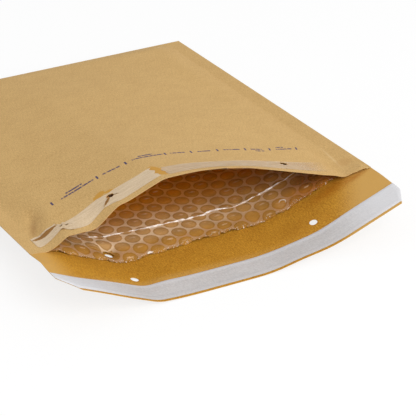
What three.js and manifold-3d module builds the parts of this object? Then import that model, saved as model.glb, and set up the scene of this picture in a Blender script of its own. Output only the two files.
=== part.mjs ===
// A padded paper mailer lying open on its back panel, in millimetres.
// X runs across the mailer, Y from the flap to the closed end, Z up from the surface it lies on.
// A place on the flat sheet is given as across (0 on the centre line) and along (0 at the cut mouth edge,
// positive into the pocket, negative on the flap).
import * as THREE from 'three';
import { mergeVertices } from 'three/addons/utils/BufferGeometryUtils.js';
import Module from 'manifold-3d';

// Flat sizes of the folded sheet
const BODY_WIDTH = 240;
const BODY_LENGTH = 275;
const FLAP_LENGTH = 50;
const FLAP_CORNER_ALONG = 12;
const FLAP_CORNER_ACROSS = 9;
const SIDE_SEAM = 10;
const BOTTOM_FOLD = 2;

// Thicknesses of the sheets, and the gap that lying pieces keep
const PAPER = 0.3;
const BUBBLE_FILM = 4;
const ADHESIVE = 0.2;
const RELEASE_PAPER = 0.25;
const TAPE = 0.2;
const CONTACT_GAP = 0.2;
const POCKET_SLACK = 0.4;

// Bubble liner: its cut edge behind the mouth, and the welded rim along its closed edges
const LINER_SETBACK = 1;
const LINER_RIM_INSET = 4;
const LINER_RIM = 4;

// Closing strip on the flap: a release paper over a narrower band of adhesive
const STRIP_WIDTH = 20.5;
const STRIP_END_MARGIN = 1.5;
const ADHESIVE_MARGIN = 1.5;

// Film tape across the front panel, torn in two
const TAPE_SETBACK = 5;
const TAPE_WIDTH = 14;
const TAPE_SIDE_INSET_LEFT = 10;
const TAPE_SIDE_INSET_RIGHT = 20;
const TEAR_AT = -28.8;
const TEAR_GAP = 3;
const TEAR_TEETH = [0.4, -1.2, 0.6, -0.8, 1.4];

// Punched holes: one pair on the flap, one behind the mouth edge of the back, one in front
const HOLE_DIAMETER = 5;
const HOLE_SPACING = 124;
const FLAP_HOLE_FROM_STRIP = 8;
const BACK_HOLE_ALONG = 7;
const FRONT_HOLE_ALONG = 15;
const FLAP_HOLE_SHIFT = 3;
const BACK_HOLE_SHIFT = -2;
const FRONT_HOLE_SHIFT = 3;
const PUNCH_REACH = 1;

// How the mailer stands open: slopes are rise for each millimetre across, and a knee is half the
// width over which a bend is rounded
const SIDE_DRAW_IN = 3.5;
const LEFT_WING = { bend: 58, knee: 5, slope: 0.44 };
const RIGHT_WING = { bend: 45, knee: 34, slope: 0.365 };
const SEAM_EASE_LEFT = 0.33;
const SEAM_EASE_RIGHT = 0.2;
const SEAM_EASE_KNEE = 2;
const SEAM_EASE_REACH = 16;
const ARCH_RISE = 0.375;
const ARCH_FOOT_LEFT = { inset: 2, knee: 2 };
const ARCH_RIDGE = { at: -29, knee: 4, slopeAfter: -0.018 };
const ARCH_SHOULDER = { at: 12.5, knee: 27 };
const ARCH_FOOT_RIGHT = { inset: 12, knee: 5 };
const CLOSED_SEAM_HEIGHT = 3;
const CLOSED_EDGE_ROUND = 20;

// Facets
const INTERIOR_STEPS = 24;
const HOLE_SIDES = 16;

const HALF_WIDTH = BODY_WIDTH / 2;
const SEAM_LINE = HALF_WIDTH - SIDE_SEAM;
const RIM_OUTER = SEAM_LINE - LINER_RIM_INSET;
const RIM_INNER = RIM_OUTER - LINER_RIM;
const CAVITY_END = BODY_LENGTH - BOTTOM_FOLD;
const RIM_OUTER_END = CAVITY_END - LINER_RIM_INSET;
const RIM_INNER_END = RIM_OUTER_END - LINER_RIM;
const STRIP_OUTER = -FLAP_LENGTH + STRIP_END_MARGIN;
const STRIP_INNER = STRIP_OUTER + STRIP_WIDTH;
const FLAP_CORNER_START = -FLAP_LENGTH + FLAP_CORNER_ALONG;
const CLOSED_THICKNESS = 2 * (BUBBLE_FILM + CONTACT_GAP) + POCKET_SLACK;
const TEAR_REACH = Math.max(...TEAR_TEETH.map(Math.abs)) + TEAR_GAP / 2;

const wasm = await Module();
wasm.setup();

function clamp01(value) {
  return Math.min(1, Math.max(0, value));
}

// Rises in step with distance once it is past zero, rounded over the knee on both sides
function roundedRamp(distance, knee) {
  if (distance <= -knee) return 0;
  if (distance >= knee) return distance;
  return (distance + knee) ** 2 / (4 * knee);
}

// 1 at the mouth and on the flap, 0 at the closed end
function openness(along) {
  return clamp01(1 - along / BODY_LENGTH);
}

// 0 on a closed edge and 1 well inside the padding
function fullness(distance) {
  return Math.sin(clamp01(distance / CLOSED_EDGE_ROUND) * Math.PI / 2);
}

function padding(across, along) {
  return fullness(SEAM_LINE - Math.abs(across)) * fullness(CAVITY_END - along);
}

// The open back panel is a flat-bottomed trough, eased to a flatter slope along the glued seams
function troughHeight(across, along) {
  const seamed = clamp01(1 + along / SEAM_EASE_REACH);
  const left = LEFT_WING.slope * roundedRamp(-across - LEFT_WING.bend, LEFT_WING.knee);
  const right = RIGHT_WING.slope * roundedRamp(across - RIGHT_WING.bend, RIGHT_WING.knee);
  const easeLeft = SEAM_EASE_LEFT * roundedRamp(-across - SEAM_LINE, SEAM_EASE_KNEE);
  const easeRight = SEAM_EASE_RIGHT * roundedRamp(across - SEAM_LINE, SEAM_EASE_KNEE);
  return left + right - seamed * (easeLeft + easeRight);
}

function backUnder(across, along) {
  const open = openness(along);
  const closed = CLOSED_SEAM_HEIGHT * (1 - padding(across, along));
  return open * troughHeight(across, along) + (1 - open) * closed;
}

// Height of the open mouth above the line between its two seams: up to a ridge, over a broad
// shoulder and down to a foot that lies inside the right seam
function archHeight(across) {
  const footLeft = -SEAM_LINE + ARCH_FOOT_LEFT.inset;
  const footRight = SEAM_LINE - ARCH_FOOT_RIGHT.inset;
  const ridgeHeight = ARCH_RISE * (ARCH_RIDGE.at - footLeft);
  const drop = ridgeHeight + ARCH_RIDGE.slopeAfter * (footRight - ARCH_RIDGE.at);
  const shoulderTurn = drop / (footRight - ARCH_SHOULDER.at);
  const ridgeTurn = ARCH_RISE - ARCH_RIDGE.slopeAfter;
  const footTurn = shoulderTurn - ARCH_RIDGE.slopeAfter;
  return ARCH_RISE * roundedRamp(across - footLeft, ARCH_FOOT_LEFT.knee)
    - ridgeTurn * roundedRamp(across - ARCH_RIDGE.at, ARCH_RIDGE.knee)
    - shoulderTurn * roundedRamp(across - ARCH_SHOULDER.at, ARCH_SHOULDER.knee)
    + footTurn * roundedRamp(across - footRight, ARCH_FOOT_RIGHT.knee);
}

function frontTop(across, along) {
  if (Math.abs(across) >= SEAM_LINE || along >= CAVITY_END) return backUnder(across, along) + 2 * PAPER;
  const open = openness(along);
  const share = (across + SEAM_LINE) / (2 * SEAM_LINE);
  const seamLeft = backUnder(-SEAM_LINE, along);
  const seamRight = backUnder(SEAM_LINE, along);
  const seam = seamLeft + (seamRight - seamLeft) * share + 2 * PAPER;
  const arch = archHeight(across) * fullness(CAVITY_END - along);
  const pad = (CLOSED_THICKNESS - CLOSED_SEAM_HEIGHT) * padding(across, along);
  return seam + open * arch + (1 - open) * pad;
}

const backInside = (across, along) => backUnder(across, along) + PAPER;
const frontInside = (across, along) => frontTop(across, along) - PAPER;

// The liner lies a contact gap inside the paper and gives way where the pocket is too thin for it
function linerThickness(across, along) {
  const room = frontInside(across, along) - backInside(across, along) - 2 * CONTACT_GAP;
  return Math.min(BUBBLE_FILM, (room - POCKET_SLACK) / 2);
}

const linerBackUnder = (across, along) => backInside(across, along) + CONTACT_GAP;
const linerFrontTop = (across, along) => frontInside(across, along) - CONTACT_GAP;

function linerMiddle(across, along) {
  return (linerBackUnder(across, along) + linerFrontTop(across, along)) / 2;
}

function onLinerRim(across, along) {
  return Math.abs(across) >= RIM_INNER || along >= RIM_INNER_END;
}

function linerBackInside(across, along) {
  if (onLinerRim(across, along)) return linerMiddle(across, along);
  return linerBackUnder(across, along) + linerThickness(across, along);
}

function linerFrontInside(across, along) {
  if (onLinerRim(across, along)) return linerMiddle(across, along);
  return linerFrontTop(across, along) - linerThickness(across, along);
}

// Where a place on the flat sheet comes to lie on the open mailer
function placed(across, along, height) {
  const drawIn = 1 - openness(along) * SIDE_DRAW_IN / HALF_WIDTH;
  return [across * drawIn, along, height(across, along)];
}

// The flap narrows beyond the start of its cut corners
function flapNarrowing(along) {
  const beyond = Math.max(0, FLAP_CORNER_START - along) / FLAP_CORNER_ALONG;
  return 1 - beyond * FLAP_CORNER_ACROSS / HALF_WIDTH;
}

// Stations across: seam and rim lines, with even steps between the rims
function stationsAcross() {
  const edges = [HALF_WIDTH, SEAM_LINE, RIM_OUTER];
  const steps = Array.from({ length: INTERIOR_STEPS + 1 }, (_, i) => 2 * i / INTERIOR_STEPS - 1);
  const interior = steps.map((step) => step * RIM_INNER);
  return [...edges.map((edge) => -edge), ...interior, ...edges.reverse()];
}

const ACROSS = stationsAcross();
const FLAP_ROWS = [-FLAP_LENGTH, STRIP_OUTER, FLAP_CORNER_START, STRIP_INNER, STRIP_INNER / 2];
const TAPE_ROWS = [TAPE_SETBACK, TAPE_SETBACK + TAPE_WIDTH];
const BODY_SHARES = [0.2, 0.36, 0.53, 0.7, 0.84];
const BODY_ROWS = BODY_SHARES.map((share) => share * CAVITY_END);
const ROUND_ROWS = [CAVITY_END - CLOSED_EDGE_ROUND, (CAVITY_END - CLOSED_EDGE_ROUND + RIM_INNER_END) / 2];
const POCKET_ROWS = [...TAPE_ROWS, ...BODY_ROWS, ...ROUND_ROWS, RIM_INNER_END, RIM_OUTER_END];
const ALONG = [...FLAP_ROWS, 0, LINER_SETBACK, ...POCKET_ROWS, CAVITY_END, BODY_LENGTH];

// A mesh that grows from named vertices, so that neighbouring sheets share their edges
class SheetMesh {
  constructor() {
    this.positions = [];
    this.triangles = [];
    this.known = new Map();
  }

  vertex(name, position) {
    if (!this.known.has(name)) {
      this.known.set(name, this.positions.length / 3);
      this.positions.push(...position);
    }
    return this.known.get(name);
  }

  quad(a, b, c, d) {
    this.triangles.push(a, b, c, a, c, d);
  }

  geometry() {
    const geometry = new THREE.BufferGeometry();
    geometry.setAttribute('position', new THREE.Float32BufferAttribute(this.positions, 3));
    geometry.setIndex(this.triangles);
    return geometry;
  }
}

// An open pouch: two panels of one sheet joined along both sides and the closed end. Its layers are
// heights over the flat sheet, and the inner ones meet where the cavity ends.
function pouchGeometry({ across, along, mouthRow, cavity, layers }) {
  const mesh = new SheetMesh();
  const last = across.length - 1;
  const end = along.length - 1;
  const isJoined = (i, j) => i <= cavity.first || i >= cavity.last || j >= cavity.end;
  const point = (layer, i, j) => {
    const joinedInside = layer === 'frontInside' && isJoined(i, j);
    const name = joinedInside ? 'backInside' : layer;
    const place = across[i] * flapNarrowing(along[j]);
    return mesh.vertex(`${name} ${i} ${j}`, placed(place, along[j], layers[name]));
  };
  const inCavity = (i, j) => i >= cavity.first && i < cavity.last && j < cavity.end;

  for (let j = 0; j < end; j += 1) {
    for (let i = 0; i < last; i += 1) {
      const under = ['backUnder', [i, j], [i, j + 1], [i + 1, j + 1], [i + 1, j]];
      const top = ['frontTop', [i, j], [i + 1, j], [i + 1, j + 1], [i, j + 1]];
      const floor = ['backInside', [i, j], [i + 1, j], [i + 1, j + 1], [i, j + 1]];
      const roof = ['frontInside', [i, j], [i, j + 1], [i + 1, j + 1], [i + 1, j]];
      const faces = [under];
      if (j >= mouthRow) faces.push(top);
      if (j < mouthRow || inCavity(i, j)) faces.push(floor);
      if (j >= mouthRow && inCavity(i, j)) faces.push(roof);
      faces.forEach(([layer, ...corners]) => {
        mesh.quad(...corners.map((corner) => point(layer, ...corner)));
      });
    }
  }
  const wall = (low, high, from, to) => {
    mesh.quad(point(low, ...from), point(low, ...to), point(high, ...to), point(high, ...from));
  };
  for (let j = 0; j < end; j += 1) {
    wall('backUnder', 'backInside', [last, j], [last, j + 1]);
    wall('backUnder', 'backInside', [0, j + 1], [0, j]);
    if (j >= mouthRow) {
      wall('backInside', 'frontTop', [last, j], [last, j + 1]);
      wall('backInside', 'frontTop', [0, j + 1], [0, j]);
    }
  }
  for (let i = 0; i < last; i += 1) {
    wall('backUnder', 'backInside', [i, 0], [i + 1, 0]);
    wall('frontInside', 'frontTop', [i, mouthRow], [i + 1, mouthRow]);
    wall('backUnder', 'backInside', [i + 1, end], [i, end]);
    wall('backInside', 'frontTop', [i + 1, end], [i, end]);
  }
  return mesh.geometry();
}

// A thin strip that lies on a panel, with its own outline at each end
function stripGeometry({ rows, stationsIn, under, thickness }) {
  const mesh = new SheetMesh();
  const top = (across, along) => under(across, along) + thickness;
  const lines = rows.map((along, j) => stationsIn(along, j));
  const last = lines[0].length - 1;
  const end = rows.length - 1;
  const layers = { under, top };
  const point = (layer, i, j) => {
    return mesh.vertex(`${layer} ${i} ${j}`, placed(lines[j][i], rows[j], layers[layer]));
  };
  for (let j = 0; j < end; j += 1) {
    for (let i = 0; i < last; i += 1) {
      const corners = [[i, j], [i + 1, j], [i + 1, j + 1], [i, j + 1]];
      const [a, b, c, d] = corners.map((corner) => point('under', ...corner));
      mesh.quad(a, d, c, b);
      mesh.quad(...corners.map((corner) => point('top', ...corner)));
    }
  }
  const wall = (from, to) => {
    mesh.quad(point('under', ...from), point('under', ...to), point('top', ...to), point('top', ...from));
  };
  for (let j = 0; j < end; j += 1) {
    wall([last, j], [last, j + 1]);
    wall([0, j + 1], [0, j]);
  }
  for (let i = 0; i < last; i += 1) {
    wall([i, 0], [i + 1, 0]);
    wall([i + 1, end], [i, end]);
  }
  return mesh.geometry();
}

function toSolid(geometry) {
  const mesh = new wasm.Mesh({
    numProp: 3,
    vertProperties: new Float32Array(geometry.attributes.position.array),
    triVerts: new Uint32Array(geometry.index.array),
  });
  return new wasm.Manifold(mesh);
}

function toGeometry(solid) {
  const mesh = solid.getMesh();
  const geometry = new THREE.BufferGeometry();
  geometry.setAttribute('position', new THREE.BufferAttribute(mesh.vertProperties, 3));
  geometry.setIndex(new THREE.BufferAttribute(mesh.triVerts, 1));
  return geometry;
}

// A punch through the sheets between two heights
function punch(across, along, low, high) {
  const radius = HOLE_DIAMETER / 2;
  const cylinder = new THREE.CylinderGeometry(radius, radius, high - low, HOLE_SIDES).rotateX(Math.PI / 2);
  const [x, y] = placed(across, along, () => 0);
  cylinder.translate(x, y, (low + high) / 2);
  cylinder.deleteAttribute('normal');
  cylinder.deleteAttribute('uv');
  return toSolid(mergeVertices(cylinder));
}

// Both punches of a pair, from just below one layer to just above another
function punchPair(shift, along, low, high) {
  const wings = [-HOLE_SPACING / 2 + shift, HOLE_SPACING / 2 + shift];
  const slopeReach = HOLE_DIAMETER / 2 * Math.max(LEFT_WING.slope, RIGHT_WING.slope) + PUNCH_REACH;
  return wings.map((across) => {
    return punch(across, along, low(across, along) - slopeReach, high(across, along) + slopeReach);
  });
}

function punched(geometry, ...punches) {
  const solid = punches.reduce((body, tool) => body.subtract(tool), toSolid(geometry));
  return toGeometry(solid);
}

// A height as a panel's facets have it, straight between neighbouring stations
function onFacets(height) {
  return (across, along) => {
    const next = Math.max(1, ACROSS.findIndex((station) => station >= across));
    const [from, to] = [ACROSS[next - 1], ACROSS[next]];
    const share = (across - from) / (to - from);
    return height(from, along) * (1 - share) + height(to, along) * share;
  };
}

const frontFacets = onFacets(frontTop);
const tapeUnder = (across, along) => frontFacets(across, along) + CONTACT_GAP;
const adhesiveUnder = (across, along) => backInside(across, along) + CONTACT_GAP;
const releaseUnder = (across, along) => adhesiveUnder(across, along) + ADHESIVE + CONTACT_GAP;

const flapPunches = punchPair(FLAP_HOLE_SHIFT, STRIP_INNER + FLAP_HOLE_FROM_STRIP, backUnder, backInside);
const backPunches = punchPair(BACK_HOLE_SHIFT, BACK_HOLE_ALONG, backUnder, linerBackInside);
const frontPunches = punchPair(FRONT_HOLE_SHIFT, FRONT_HOLE_ALONG, linerFrontInside, tapeUnder);

function kraftEnvelope() {
  const geometry = pouchGeometry({
    across: ACROSS,
    along: ALONG,
    mouthRow: ALONG.indexOf(0),
    cavity: {
      first: ACROSS.indexOf(-SEAM_LINE),
      last: ACROSS.indexOf(SEAM_LINE),
      end: ALONG.indexOf(CAVITY_END),
    },
    layers: { backUnder, backInside, frontInside, frontTop },
  });
  return punched(geometry, ...flapPunches, ...backPunches, ...frontPunches);
}

function bubbleLiner() {
  const across = ACROSS.filter((station) => Math.abs(station) <= RIM_OUTER);
  const along = ALONG.filter((row) => row >= LINER_SETBACK && row <= RIM_OUTER_END);
  const geometry = pouchGeometry({
    across,
    along,
    mouthRow: 0,
    cavity: { first: 1, last: across.length - 2, end: along.length - 2 },
    layers: {
      backUnder: linerBackUnder,
      backInside: linerBackInside,
      frontInside: linerFrontInside,
      frontTop: linerFrontTop,
    },
  });
  return punched(geometry, ...backPunches, ...frontPunches);
}

function adhesiveBand() {
  const rows = [STRIP_OUTER + ADHESIVE_MARGIN, FLAP_CORNER_START, STRIP_INNER - ADHESIVE_MARGIN];
  const widest = HALF_WIDTH - ADHESIVE_MARGIN;
  const inset = ACROSS.map((station) => Math.min(widest, Math.max(-widest, station)));
  const stationsIn = (along) => inset.map((station) => station * flapNarrowing(along));
  return stripGeometry({ rows, stationsIn, under: adhesiveUnder, thickness: ADHESIVE });
}

function releaseStrip() {
  const rows = [STRIP_OUTER, FLAP_CORNER_START, STRIP_INNER];
  const stationsIn = (along) => ACROSS.map((station) => station * flapNarrowing(along));
  return stripGeometry({ rows, stationsIn, under: releaseUnder, thickness: RELEASE_PAPER });
}

// The tear keeps clear of the panel's facet lines, so that the torn ends lie on one facet
function tearPlace() {
  const near = ACROSS.find((station) => Math.abs(station - TEAR_AT) <= TEAR_REACH);
  if (near === undefined) return TEAR_AT;
  return near + (TEAR_AT < near ? -1 : 1) * (TEAR_REACH + CONTACT_GAP);
}

// One side of the torn tape: straight at its outer end, ragged at the tear
function tornTape(isLeft) {
  const rows = TEAR_TEETH.map((_, j) => TAPE_SETBACK + TAPE_WIDTH * j / (TEAR_TEETH.length - 1));
  const outer = isLeft ? -HALF_WIDTH + TAPE_SIDE_INSET_LEFT : HALF_WIDTH - TAPE_SIDE_INSET_RIGHT;
  const side = isLeft ? -1 : 1;
  const tear = tearPlace();
  const isInside = (station) => (station - tear) * side > TEAR_REACH && (outer - station) * side > 0;
  const inner = ACROSS.filter(isInside);
  const stationsIn = (_, j) => {
    const torn = tear + side * TEAR_GAP / 2 + TEAR_TEETH[j];
    return isLeft ? [outer, ...inner, torn] : [torn, ...inner, outer];
  };
  const geometry = stripGeometry({ rows, stationsIn, under: tapeUnder, thickness: TAPE });
  return punched(geometry, ...frontPunches);
}

const kraft = { color: 0xc6a36e, roughness: 0.85, metalness: 0 };
const film = { color: 0xb48c66, roughness: 0.25, metalness: 0, transparent: true, opacity: 0.6 };
const glue = { color: 0xd8cfa8, roughness: 0.4, metalness: 0 };
const release = { color: 0xd5d5dc, roughness: 0.45, metalness: 0 };
const tape = { color: 0xd6bb98, roughness: 0.4, metalness: 0 };

function part(name, geometry, finish) {
  const mesh = new THREE.Mesh(geometry, new THREE.MeshStandardMaterial(finish));
  mesh.name = name;
  return mesh;
}

const mailer = new THREE.Group();
mailer.add(
  part('kraft_envelope', kraftEnvelope(), kraft),
  part('bubble_liner', bubbleLiner(), film),
  part('adhesive_band', adhesiveBand(), glue),
  part('release_strip', releaseStrip(), release),
  part('mouth_tape_left', tornTape(true), tape),
  part('mouth_tape_right', tornTape(false), tape),
);
// The origin is the middle of the footprint, on the surface
mailer.position.y = (FLAP_LENGTH - BODY_LENGTH) / 2;

export default mailer;
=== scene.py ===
"""An open padded mailer: kraft sheet, bubble film liner, closing strip and torn mouth tape."""
import logging
import math
from dataclasses import dataclass, field, replace
from enum import Enum, IntEnum
from functools import partial, reduce

import bmesh
import bpy
import numpy as np
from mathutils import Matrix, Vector


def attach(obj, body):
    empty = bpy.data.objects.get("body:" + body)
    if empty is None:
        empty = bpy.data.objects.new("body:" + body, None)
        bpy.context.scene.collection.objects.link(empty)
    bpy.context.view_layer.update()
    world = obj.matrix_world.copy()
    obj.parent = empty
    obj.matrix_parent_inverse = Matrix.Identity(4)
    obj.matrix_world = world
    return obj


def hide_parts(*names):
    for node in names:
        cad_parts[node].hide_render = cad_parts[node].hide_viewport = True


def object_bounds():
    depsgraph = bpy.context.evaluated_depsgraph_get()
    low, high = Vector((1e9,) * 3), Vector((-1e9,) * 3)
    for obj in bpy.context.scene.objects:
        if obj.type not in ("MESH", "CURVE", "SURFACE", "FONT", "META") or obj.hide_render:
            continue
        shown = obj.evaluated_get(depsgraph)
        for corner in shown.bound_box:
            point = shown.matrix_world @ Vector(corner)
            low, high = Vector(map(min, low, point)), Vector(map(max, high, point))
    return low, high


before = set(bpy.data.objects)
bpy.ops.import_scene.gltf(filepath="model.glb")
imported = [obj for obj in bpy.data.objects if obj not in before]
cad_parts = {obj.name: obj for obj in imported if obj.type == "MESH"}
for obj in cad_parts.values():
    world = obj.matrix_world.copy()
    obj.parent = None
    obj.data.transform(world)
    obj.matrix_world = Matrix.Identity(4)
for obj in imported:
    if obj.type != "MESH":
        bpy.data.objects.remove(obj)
CAD_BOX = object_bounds()

LOG = logging.getLogger("padded_mailer")
MM = 0.001
HALF_WIDTH = round(CAD_BOX[1][0] / MM, 1)
WHOLE_LENGTH = round((CAD_BOX[1][1] - CAD_BOX[0][1]) / MM, 1)
BODY = "root"
SEED = 20
FLAT_UV = "flat"
UV_SPAN = 400.0
UV_SHIFT = (150.0, 60.0)
BUBBLE_PLACE = "bubble_place"
BUBBLE_AWAY = "bubble_away"
HEX_COLUMN = math.sqrt(3.0) / 2.0

Array = np.ndarray
Socket = bpy.types.NodeSocket
Faces = list[tuple[int, ...]]
Span = tuple[float, float]
Triple = tuple[float, float, float]
Fade = tuple[float, float, float, float]
Colour = tuple[float, float, float, float]


def colour(red: int, green: int, blue: int) -> Colour:
    """Turn a screen colour into the linear one that a shader takes.

    Args:
        red: Red from 0 to 255.
        green: Green from 0 to 255.
        blue: Blue from 0 to 255.

    Returns:
        The linear colour with full opacity.
    """
    def linear(channel: int) -> float:
        """Give one channel without the screen's curve."""
        share = channel / 255.0
        return share / 12.92 if share <= 0.04045 else ((share + 0.055) / 1.055) ** 2.4

    return (linear(red), linear(green), linear(blue), 1.0)


def linked(name: str, data: bpy.types.ID) -> bpy.types.Object:
    """Put a mesh, a lamp or a camera into the scene as an object of that name.

    Args:
        name: The object's name.
        data: What it shows.

    Returns:
        The new object, at the origin.
    """
    made = bpy.data.objects.new(name, data)
    bpy.context.scene.collection.objects.link(made)
    return made


class Panel(Enum):
    """The two panels of the folded sheet."""

    BACK = "back"
    FRONT = "front"


class PaperFace(Enum):
    """Which face of the kraft sheet a polygon is on, by its material slot."""

    BACK_OUTSIDE = 0
    FRONT_OUTSIDE = 1
    INSIDE = 2


class SheetLayer(IntEnum):
    """The four layers of points that make the kraft sheet, from the lowest up."""

    UNDERSIDE = 0
    POCKET_FLOOR = 1
    POCKET_ROOF = 2
    TOP = 3


class TapeSide(Enum):
    """The two parts of the torn tape, by the node that each stands for."""

    LEFT = "mouth_tape_left"
    RIGHT = "mouth_tape_right"


@dataclass(frozen=True)
class Swell:
    """A soft rise or dent in the front panel or the flap, in millimetres."""

    across: float
    along: float
    reach_across: float
    reach_along: float
    height: float

    def lift(self, across: Array, along: Array) -> Array:
        """Give the height that this swell adds at each place.

        Args:
            across: Places across the sheet.
            along: Places along the sheet.

        Returns:
            The height at each place.
        """
        sideways = ((across - self.across) / self.reach_across) ** 2
        lengthways = ((along - self.along) / self.reach_along) ** 2
        return self.height * np.exp(-sideways - lengthways)


@dataclass(frozen=True)
class MailerForm:
    """The sizes of the open mailer and the height of each layer over the flat sheet, in millimetres.

    Across is 0 on the centre line. Along is 0 at the mouth edge, positive into the pocket and
    negative on the flap. A wing is the place of its bend, half the bend's width and the slope
    beyond it. A foot, the ridge and the shoulder are a place and half the width of the bend there.
    A row of settle is its middle, its reach and its height.
    """

    half_width: float = HALF_WIDTH
    flap_length: float = 50.0
    body_length: float = WHOLE_LENGTH - flap_length
    flap_corner_along: float = 12.0
    flap_corner_across: Span = (12.0, 6.4)
    side_seam: float = 10.0
    bottom_fold: float = 2.0
    paper: float = 0.3
    bubble_film: float = 4.0
    contact_gap: float = 0.2
    pocket_slack: float = 0.4
    side_draw_in: float = 3.5
    left_wing: Triple = (58.0, 5.0, 0.44)
    right_wing: Triple = (45.0, 34.0, 0.365)
    seam_ease: Span = (0.33, 0.1)
    seam_ease_knee: float = 2.0
    seam_ease_reach: float = 16.0
    arch_rise: float = 0.375
    foot_left: Span = (-108.0, 2.0)
    ridge: Span = (-29.0, 4.0)
    ridge_slope_after: float = -0.018
    shoulder: Span = (12.5, 27.0)
    foot_right: Span = (97.5, 12.5)
    closed_seam_height: float = 3.0
    closed_edge_round: float = 20.0
    settle_peak: float = 45.0
    settle: tuple[Triple, ...] = (
        (18.0, 28.0, -2.6), (95.0, 18.0, 1.8), (-55.0, 16.0, 1.4),
    )
    swells: tuple[Swell, ...] = (
        Swell(-101.0, 41.0, 3.6, 9.0, -3.4),
        Swell(-105.5, 28.0, 3.0, 10.0, -5.0),
        Swell(-94.0, 34.0, 5.0, 14.0, 1.2),
        Swell(-88.0, 62.0, 12.0, 30.0, 1.0),
        Swell(-95.5, 0.0, 5.0, 14.0, 2.2),
        Swell(-76.0, 0.0, 8.5, 13.0, -4.4),
        Swell(-60.0, 0.0, 4.5, 14.0, 1.1),
        Swell(104.0, 0.0, 6.0, 40.0, -3.5),
        Swell(-20.0, 120.0, 30.0, 45.0, -1.0),
        Swell(55.0, 105.0, 26.0, 40.0, 0.9),
        Swell(20.0, 190.0, 45.0, 30.0, 0.8),
        Swell(-60.0, 200.0, 25.0, 35.0, -0.8),
        Swell(85.0, 170.0, 12.0, 40.0, -0.8),
    )
    flap_swells: tuple[Swell, ...] = (
        Swell(-105.0, -50.0, 40.0, 16.0, 1.8),
        Swell(-60.0, -50.0, 14.0, 14.0, 0.8),
        Swell(-104.0, -27.0, 16.0, 10.0, -1.0),
        Swell(-45.0, -30.0, 14.0, 12.0, 0.8),
        Swell(42.0, -52.0, 17.0, 14.0, 1.6),
        Swell(66.0, -30.0, 14.0, 9.0, -0.9),
    )
    loose_rise: Span = (100.0, 115.0)
    loose_fall: Span = (115.0, 118.7)
    loose_length: float = 14.0
    loose_height: float = 1.6
    loose_reach: float = 4.0

    @property
    def seam_line(self) -> float:
        """Give where the glued side seam begins."""
        return self.half_width - self.side_seam

    @property
    def cavity_end(self) -> float:
        """Give where the pocket ends at the closed end."""
        return self.body_length - self.bottom_fold

    @property
    def corner_start(self) -> float:
        """Give where the flap's corners begin to narrow."""
        return -self.flap_length + self.flap_corner_along

    @property
    def shift_along(self) -> float:
        """Give what moves the mouth edge's place into the row frame."""
        return (self.flap_length - self.body_length) / 2.0

    @staticmethod
    def ramp(distance: Array, knee: float) -> Array:
        """Rise in step with distance once it is past zero, rounded over the knee.

        Args:
            distance: How far past the bend each place is.
            knee: Half the width over which the bend is rounded.

        Returns:
            The height at each place for a slope of one.
        """
        rounded = (distance + knee) ** 2 / (4.0 * knee)
        return np.where(distance <= -knee, 0.0, np.where(distance >= knee, distance, rounded))

    @staticmethod
    def step(value: Array, start: float, end: float) -> Array:
        """Go smoothly from 0 at start to 1 at end."""
        share = np.clip((value - start) / (end - start), 0.0, 1.0)
        return share * share * (3.0 - 2.0 * share)

    def openness(self, along: Array) -> Array:
        """Give 1 at the mouth and on the flap, and 0 at the closed end."""
        return np.clip(1.0 - along / self.body_length, 0.0, 1.0)

    def fullness(self, distance: Array) -> Array:
        """Give 0 on a closed edge and 1 well inside the padding."""
        return np.sin(np.clip(distance / self.closed_edge_round, 0.0, 1.0) * np.pi / 2.0)

    def padding(self, across: Array, along: Array) -> Array:
        """Give how full the closed pocket would be at each place."""
        return self.fullness(self.seam_line - np.abs(across)) * self.fullness(self.cavity_end - along)

    def trough(self, across: Array, along: Array) -> Array:
        """Give the height of the open back panel, a trough eased along the seams.

        Args:
            across: Places across the sheet.
            along: Places along the sheet.

        Returns:
            The height at each place.
        """
        seamed = np.clip(1.0 + along / self.seam_ease_reach, 0.0, 1.0)
        left_bend, left_knee, left_slope = self.left_wing
        right_bend, right_knee, right_slope = self.right_wing
        wings = left_slope * self.ramp(-across - left_bend, left_knee)
        wings = wings + right_slope * self.ramp(across - right_bend, right_knee)
        ease = self.seam_ease[0] * self.ramp(-across - self.seam_line, self.seam_ease_knee)
        ease = ease + self.seam_ease[1] * self.ramp(across - self.seam_line, self.seam_ease_knee)
        return wings - seamed * ease

    def back_under(self, across: Array, along: Array) -> Array:
        """Give the height of the sheet's lowest face.

        Args:
            across: Places across the sheet.
            along: Places along the sheet.

        Returns:
            The height at each place.
        """
        opened = self.openness(along)
        closed = self.closed_seam_height * (1.0 - self.padding(across, along))
        relief = sum(swell.lift(across, along) for swell in self.flap_swells)
        return opened * self.trough(across, along) + (1.0 - opened) * closed + relief

    def arch(self, across: Array) -> Array:
        """Give the height of the mouth above the line between its seams.

        Args:
            across: Places across the sheet.

        Returns:
            The height: up to a ridge, over a broad shoulder and down to a foot.
        """
        left, left_knee = self.foot_left
        right, right_knee = self.foot_right
        top, top_knee = self.ridge
        bend, bend_knee = self.shoulder
        after = self.ridge_slope_after
        turn = (self.arch_rise * (top - left) + after * (right - top)) / (right - bend)
        rise = self.arch_rise * self.ramp(across - left, left_knee)
        rise = rise - (self.arch_rise - after) * self.ramp(across - top, top_knee)
        rise = rise - turn * self.ramp(across - bend, bend_knee)
        return rise + (turn - after) * self.ramp(across - right, right_knee)

    def front_relief(self, across: Array, along: Array) -> Array:
        """Give the soft unevenness of the front panel, which fades at its closed edges.

        Args:
            across: Places across the sheet.
            along: Places along the sheet.

        Returns:
            The height to add at each place.
        """
        behind = np.maximum(along, 0.0) / self.settle_peak
        settled = behind * np.exp(1.0 - behind)
        relief = sum(
            height * np.exp(-((across - middle) / reach) ** 2) * settled
            for middle, reach, height in self.settle
        )
        relief = relief + sum(swell.lift(across, along) for swell in self.swells)
        return relief * self.padding(across, along)

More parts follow.
